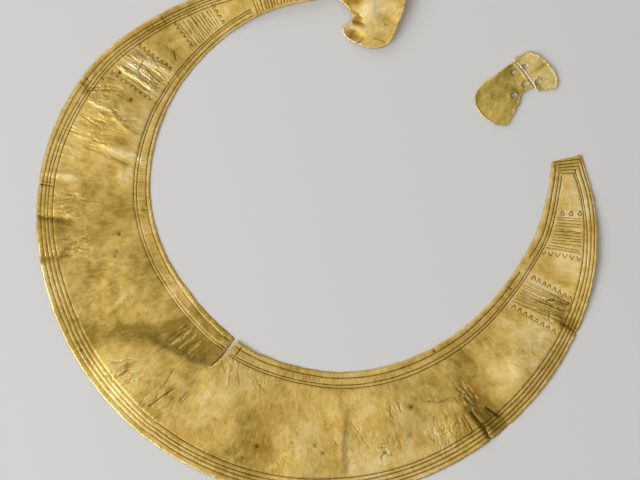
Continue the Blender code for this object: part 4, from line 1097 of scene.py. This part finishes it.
def hammered_gold(name, plain, pale, olive, stain, dirt_and_painted_shade):
    """Bare gold, hammered thin and long buried: satin metal, paler where it is rubbed and where highlights are painted,
    olive where it has dulled and where shade is painted, with red-brown stains, and dark earth and painted shade in
    its lines, creases and pits. The eye gets broken, warm reflections."""
    material = bpy.data.materials.new(name)
    material.use_nodes = True
    tree = material.node_tree
    place = add(tree, "ShaderNodeTexCoord").outputs["Object"]
    grain = add(tree, "ShaderNodeUVMap", uv_map="grain").outputs["UV"]

    def noise(size, detail, vector=place, distortion=0.0):
        node = add(tree, "ShaderNodeTexNoise", {
            "Vector": vector, "Scale": per(size), "Detail": detail, "Distortion": distortion,
        })
        return node.outputs["Fac"]

    def ranged(value, low, high, to_low, to_high):
        node = add(tree, "ShaderNodeMapRange", {
            "Value": value, "From Min": low, "From Max": high, "To Min": to_low, "To Max": to_high,
        })
        return node.outputs["Result"]

    def maths(operation, a, b):
        return add(tree, "ShaderNodeMath", {0: a, 1: b}, operation=operation).outputs[0]

    def blended(share, a, b):
        return add(tree, "ShaderNodeMix", {0: share, 6: a, 7: b}, data_type="RGBA").outputs[2]

    def attribute(label):
        return add(tree, "ShaderNodeAttribute", attribute_name=label).outputs["Fac"]

    # Rubbing marks really are hundredths of a millimetre apart; they are drawn at half a millimetre to show.
    stretched = add(tree, "ShaderNodeMapping", {"Vector": grain, "Scale": (1.0, 0.12, 1.0)}).outputs[0]
    wrinkled = add(tree, "ShaderNodeMapping", {"Vector": grain, "Scale": (1.0, 0.45, 1.0)}).outputs[0]
    rubbed = noise(0.55, 3.0, stretched, 0.6)
    broad = ranged(noise(30, 3.0), 0.35, 0.65, -0.3, 0.25)
    mottle = ranged(noise(5.5, 6.0, place, 0.5), 0.3, 0.7, -0.42, 0.34)
    streaks = ranged(noise(1.5, 4.0, wrinkled, 0.8), 0.3, 0.7, -0.3, 0.26)
    crumpling = maths("MULTIPLY", maths("SUBTRACT", noise(1.0, 2.0, wrinkled, 0.8), 0.5), attribute("crumpled"))
    tone = maths("ADD", maths("ADD", maths("ADD", broad, mottle), streaks), attribute("tone"))
    tone = maths("ADD", tone, maths("MULTIPLY", crumpling, 2.2))
    stained = maths("MULTIPLY", attribute("stain"), ranged(noise(6, 4.0, place, 0.5), 0.35, 0.65, 0.3, 1.0))
    speckle = ranged(noise(1.1, 3.0), 0.66, 0.8, 0.0, 0.5)
    dirt_and_shade = maths("MULTIPLY", ranged(attribute("dirt_and_painted_shade"), 0.0, 0.6, 0.0, 1.0), ranged(noise(1.6, 2.0), 0.3, 0.7, 0.7, 1.0))

    # Over nought the tone mixes in pale gold, rubbed and painted highlight; under nought it mixes in olive, dulled and
    # painted shade.
    colour = blended(ranged(tone, 0.0, 1.0, 0.0, 1.0), linear(plain), linear(pale))
    colour = blended(ranged(tone, 0.0, -1.0, 0.0, 1.0), colour, linear(olive))
    colour = blended(stained, colour, linear(stain))
    colour = blended(maths("MULTIPLY", speckle, 0.6), colour, linear(stain))
    # The lines, creases and pits darkened: dark earth and painted shade.
    colour = blended(maths("MULTIPLY", dirt_and_shade, 0.92), colour, linear(dirt_and_painted_shade))

    roughness = ranged(tone, -1.0, 1.0, 0.43, 0.3)
    roughness = maths("ADD", roughness, maths("MULTIPLY", maths("SUBTRACT", rubbed, 0.5), 0.15))
    roughness = maths("ADD", roughness, maths("MULTIPLY", stained, 0.12))
    roughness = maths("ADD", roughness, maths("MULTIPLY", dirt_and_shade, 0.3))

    relief = maths("ADD", noise(1.3, 3.0), maths("MULTIPLY", rubbed, 0.3))
    fine = maths("MULTIPLY", crumpling, 4.0)
    relief = add(tree, "ShaderNodeBump", {
        "Height": maths("ADD", relief, fine), "Distance": 0.09 * MM, "Strength": 1.0,
    })
    shader = tree.nodes["Principled BSDF"]
    shader.inputs["Metallic"].default_value = 1.0
    for label, socket in (("Base Color", colour), ("Roughness", roughness), ("Normal", relief.outputs[0])):
        tree.links.new(socket, shader.inputs[label])
    return material


def lay_grain(mesh, grain):
    """A UV map in metres, in which fine marks run along the second axis, and the same as attributes."""
    give(mesh, "across", grain[:, 0] * MM)
    give(mesh, "lengthways", grain[:, 1] * MM)
    layer = mesh.uv_layers.new(name="grain")
    corners = np.empty(len(mesh.loops), int)
    mesh.loops.foreach_get("vertex_index", corners)
    layer.uv.foreach_set("vector", (grain[corners] * MM).astype(np.float32).ravel())


def edge_tone(points, loops, reach):
    """How near the edge each point is: 1 at the edge, fading out over that reach. It lifts the raised rims, and paints
    the rims pale, rubbed and partly a painted highlight.
    """
    tree = tree_of(np.concatenate(loops))
    away = np.array([tree.find((x, y, 0.0))[2] for x, y in points])
    return np.exp(-((away / reach) ** 2))


def make_sheet(place, tree, material, line_material):
    dice = np.random.default_rng(SEED)
    loop = nicked(worn(turned_left(sheet_outline()), 0.06, 7.0, dice))
    strokes = sheet_strokes(loop, line_material)
    mesh, points, sunk, dirt_and_shade = flat_plan("lunula_gold", [loop], FIELD_STEP, RIM_WIDTH, strokes, dice)
    angles, radii = angle_of(points), np.linalg.norm(points, axis=1)
    inside, outside = panel(angles)
    clean = eased((angles - LINES_CLEAN[0]) / 3) * eased((LINES_CLEAN[1] - angles) / 3)
    clean *= (radii < inside) | (radii > outside)
    pits, pit_dirt_and_shade = pitted(points)
    raised = RIM_RAISE * edge_tone(points, [loop], RIM_RAISE_REACH) * on_terminal(points)
    give(mesh, "sunk", (sunk + pits - raised) * MM)
    faint = eased((angles - LINES_FAINT[0]) / 4) * eased((LINES_FAINT[1] - angles) / 4)
    # The lines, creases and pits are darkened with dirt and painted shade: none in the clean stretch, less in the faint
    # one.
    give(mesh, "dirt_and_painted_shade", np.maximum(dirt_and_shade * (1 - clean) * (1 - FAINTNESS * faint), pit_dirt_and_shade))
    give(mesh, "stain", np.clip(swell(points, STAINS), 0.0, 1.0))
    give(mesh, "crumpled", np.clip(swell(points, CRUMPLED), 0.0, 1.0))
    # The rims painted pale: rubbed, and partly a painted highlight, most on the terminal.
    rim = edge_tone(points, [loop], 0.5) * (0.5 + 0.5 * on_terminal(points))
    # Rubbed and dulled patches with painted highlights and painted shade, and the flap's painted shade.
    shade = np.clip(swell(points, TONES_AND_PAINTED_LIGHT) + FLAP_PAINTED_SHADE * on_flap(points), -1, 1)
    crest = CREST_TONE * np.clip(-sunk, 0.0, FULL_CREST) / FULL_CREST
    # The clean lines are painted pale: a painted highlight.
    give(mesh, "tone", shade + rim + crest + CLEAN_LINE_PAINTED_HIGHLIGHT * dirt_and_shade * clean)
    give(mesh, "lie", sheet_lie(points) * MM)
    give(mesh, "extra", (TERMINAL_THICKNESS - SHEET_THICKNESS) * on_terminal(points) * MM)
    grain = np.stack([np.radians(angles) * 90, radii], axis=1)
    lay_grain(mesh, grain)
    made = grown(tree, mesh, {
        "Thickness": SHEET_THICKNESS * MM, "Bank depth": LINE_BANK * MM, "Dent size": 4.0 * MM,
        "Dent depth": 0.1 * MM, "Crumple size": 1.8 * MM, "Crumple depth": 0.45 * MM, "Seed": 3.0,
        "Material": material,
    })
    placed(made, place)
    return finished("lunula_gold", made, "lunula_sheet")


def finished(name, mesh, node):
    piece = bpy.data.objects.new(name, mesh)
    bpy.context.scene.collection.objects.link(piece)
    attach(piece, "root")
    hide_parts(node)
    return piece


def hole_loop(middle):
    sides = 20
    turns = -2 * np.pi * np.arange(sides) / sides
    return np.array(middle) + HOLE_DIAMETER / 2 * np.stack([np.cos(turns), np.sin(turns)], axis=1)


def make_fragment(name, node, outline, holes, burrs, spot, place, tree, material, tone):
    """A flat piece of the snapped-off terminal, with its stitch holes and the burr round each."""
    dice = np.random.default_rng(len(name))
    loop = worn(turned_left(rounded([*outline, outline[0]], FRAGMENT_STEP)[:-1]), 0.04, 3.0, dice)
    turn = math.radians(FRAGMENT_TURN)
    spin = np.array([[math.cos(turn), math.sin(turn)], [-math.sin(turn), math.cos(turn)]])
    loops = [ring @ spin + polar(*spot) for ring in (loop, *(hole_loop(hole) for hole in holes))]
    mesh, points, _, _ = flat_plan(name, loops, FRAGMENT_STEP, FRAGMENT_RIM_WIDTH, [], dice)
    burr = np.zeros(len(points))
    for ring, height in zip(loops[1:], burrs):
        offset = points - ring.mean(axis=0)
        away = np.linalg.norm(offset, axis=1) - HOLE_DIAMETER / 2 - BURR_AWAY
        turned = np.arctan2(offset[:, 1], offset[:, 0]) - math.radians(BURR_SIDE)
        burr += height * (0.6 + 0.4 * np.cos(turned)) * np.exp(-((away / BURR_WIDTH) ** 2))
    raised = RIM_RAISE * edge_tone(points, loops[:1], RIM_RAISE_REACH)
    give(mesh, "sunk", -(burr + raised) * MM)
    give(mesh, "lie", swell(points, FRAGMENT_SWELLS) * MM)
    # The pieces' colour: rubbed and dulled patches with painted highlights and painted shade, and burrs and rims
    # painted pale, rubbed and partly a painted highlight, the burrs palest on one side.
    give(mesh, "tone", tone + burr + swell(points, FRAGMENT_TONES_AND_PAINTED_LIGHT) + edge_tone(points, loops[:1], 0.55))
    for label in ("dirt_and_painted_shade", "stain", "extra"):
        give(mesh, label, np.zeros(len(points)))
    give(mesh, "crumpled", np.full(len(points), 0.25))
    lay_grain(mesh, points)
    made = grown(tree, mesh, {
        "Thickness": FRAGMENT_THICKNESS * MM, "Bank depth": 0.0, "Dent size": 6.0 * MM, "Dent depth": 0.15 * MM,
        "Crumple size": 3.0 * MM, "Crumple depth": 0.2 * MM, "Seed": 5.0, "Material": material,
    })
    placed(made, place)
    return finished(name, made, node)


def make_camera(place):
    """Straight above, with the frame's width and turn."""
    lens = bpy.data.cameras.new("camera")
    lens.sensor_width = SENSOR_WIDTH
    lens.lens = SENSOR_WIDTH * CAMERA_HEIGHT / (FRAME_WIDTH * MM)
    camera = bpy.data.objects.new("camera", lens)
    bpy.context.scene.collection.objects.link(camera)
    x, y = (np.array(place) + FRAME_MIDDLE) * MM
    camera.location = (x, y, CAMERA_HEIGHT)
    camera.rotation_euler = (0, 0, math.radians(CAMERA_TURN))
    bpy.context.scene.camera = camera


def soft_light(name, turn, tilt, distance, size, glow, colour):
    """A square soft light, turn degrees round from the picture's right and tilt degrees down from overhead.
    Its glow is how bright its face is."""
    lamp = bpy.data.lights.new(name, "AREA")
    lamp.shape = "SQUARE"
    lamp.size = size
    lamp.energy = glow * math.pi * size ** 2
    lamp.color = linear(colour)[:3]
    light = bpy.data.objects.new(name, lamp)
    bpy.context.scene.collection.objects.link(light)
    round_turn = math.radians(turn + CAMERA_TURN)
    down = math.radians(tilt)
    to_light = Vector((math.sin(down) * math.cos(round_turn), math.sin(down) * math.sin(round_turn), math.cos(down)))
    light.location = to_light * distance
    light.rotation_euler = (-to_light).to_track_quat("-Z", "Y").to_euler()
    light.visible_camera = False


def make_studio():
    """A large dim panel overhead, to the left of the picture, and two soft lights low on its left side."""
    soft_light("key_softbox", 212, 52, 1.4, 1.0, 3.3, "#F6F8FF")
    soft_light("side_softbox", 125, 55, 1.5, 0.9, 1.5, "#F8FAFF")
    soft_light("overhead_panel", 200, 8, 2.1, 1.8, 0.61, "#FFFFFF")
    world = bpy.data.worlds.new("studio_air")
    world.use_nodes = True
    world.node_tree.nodes["Background"].inputs["Color"].default_value = linear("#F2F1EE")
    world.node_tree.nodes["Background"].inputs["Strength"].default_value = 0.27
    bpy.context.scene.world = world
    bpy.context.scene.view_settings.view_transform = "Standard"


def make_floor():
    mesh = bpy.data.meshes.new("studio_floor")
    half = 3.0
    mesh.from_pydata([(-half, -half, 0), (half, -half, 0), (half, half, 0), (-half, half, 0)], [], [(0, 1, 2, 3)])
    floor = bpy.data.objects.new("studio_floor", mesh)
    floor.location.z = -0.00005
    bpy.context.scene.collection.objects.link(floor)
    material = bpy.data.materials.new("pale_matte_board")
    material.use_nodes = True
    shader = material.node_tree.nodes["Principled BSDF"]
    shader.inputs["Base Color"].default_value = linear("#EFEDE8")
    shader.inputs["Roughness"].default_value = 0.9
    mesh.materials.append(material)


def main():
    place = edge_centre()
    tree = plate_tree()
    gold = hammered_gold("hammered_gold_sheet", "#E2BE67", "#F9E0A3", "#A48638", "#C08630", "#472808")
    plate_gold = hammered_gold("thick_terminal_gold", "#DFC069", "#F8E2A4", "#A3903E", "#B87F30", "#432A0C")
    line_material = bpy.data.materials.new("engraved_line")
    make_sheet(place, tree, gold, line_material)
    make_fragment(
        "fragment_large_gold", "terminal_fragment_large", LARGE_OUTLINE, LARGE_HOLES, LARGE_BURRS,
        LARGE_PLACE, place, tree, plate_gold, -0.55,
    )
    make_fragment(
        "fragment_small_gold", "terminal_fragment_small", SMALL_OUTLINE, SMALL_HOLES, SMALL_BURRS,
        SMALL_PLACE, place, tree, plate_gold, 0.15,
    )
    make_camera(place)
    make_studio()
    make_floor()


main()
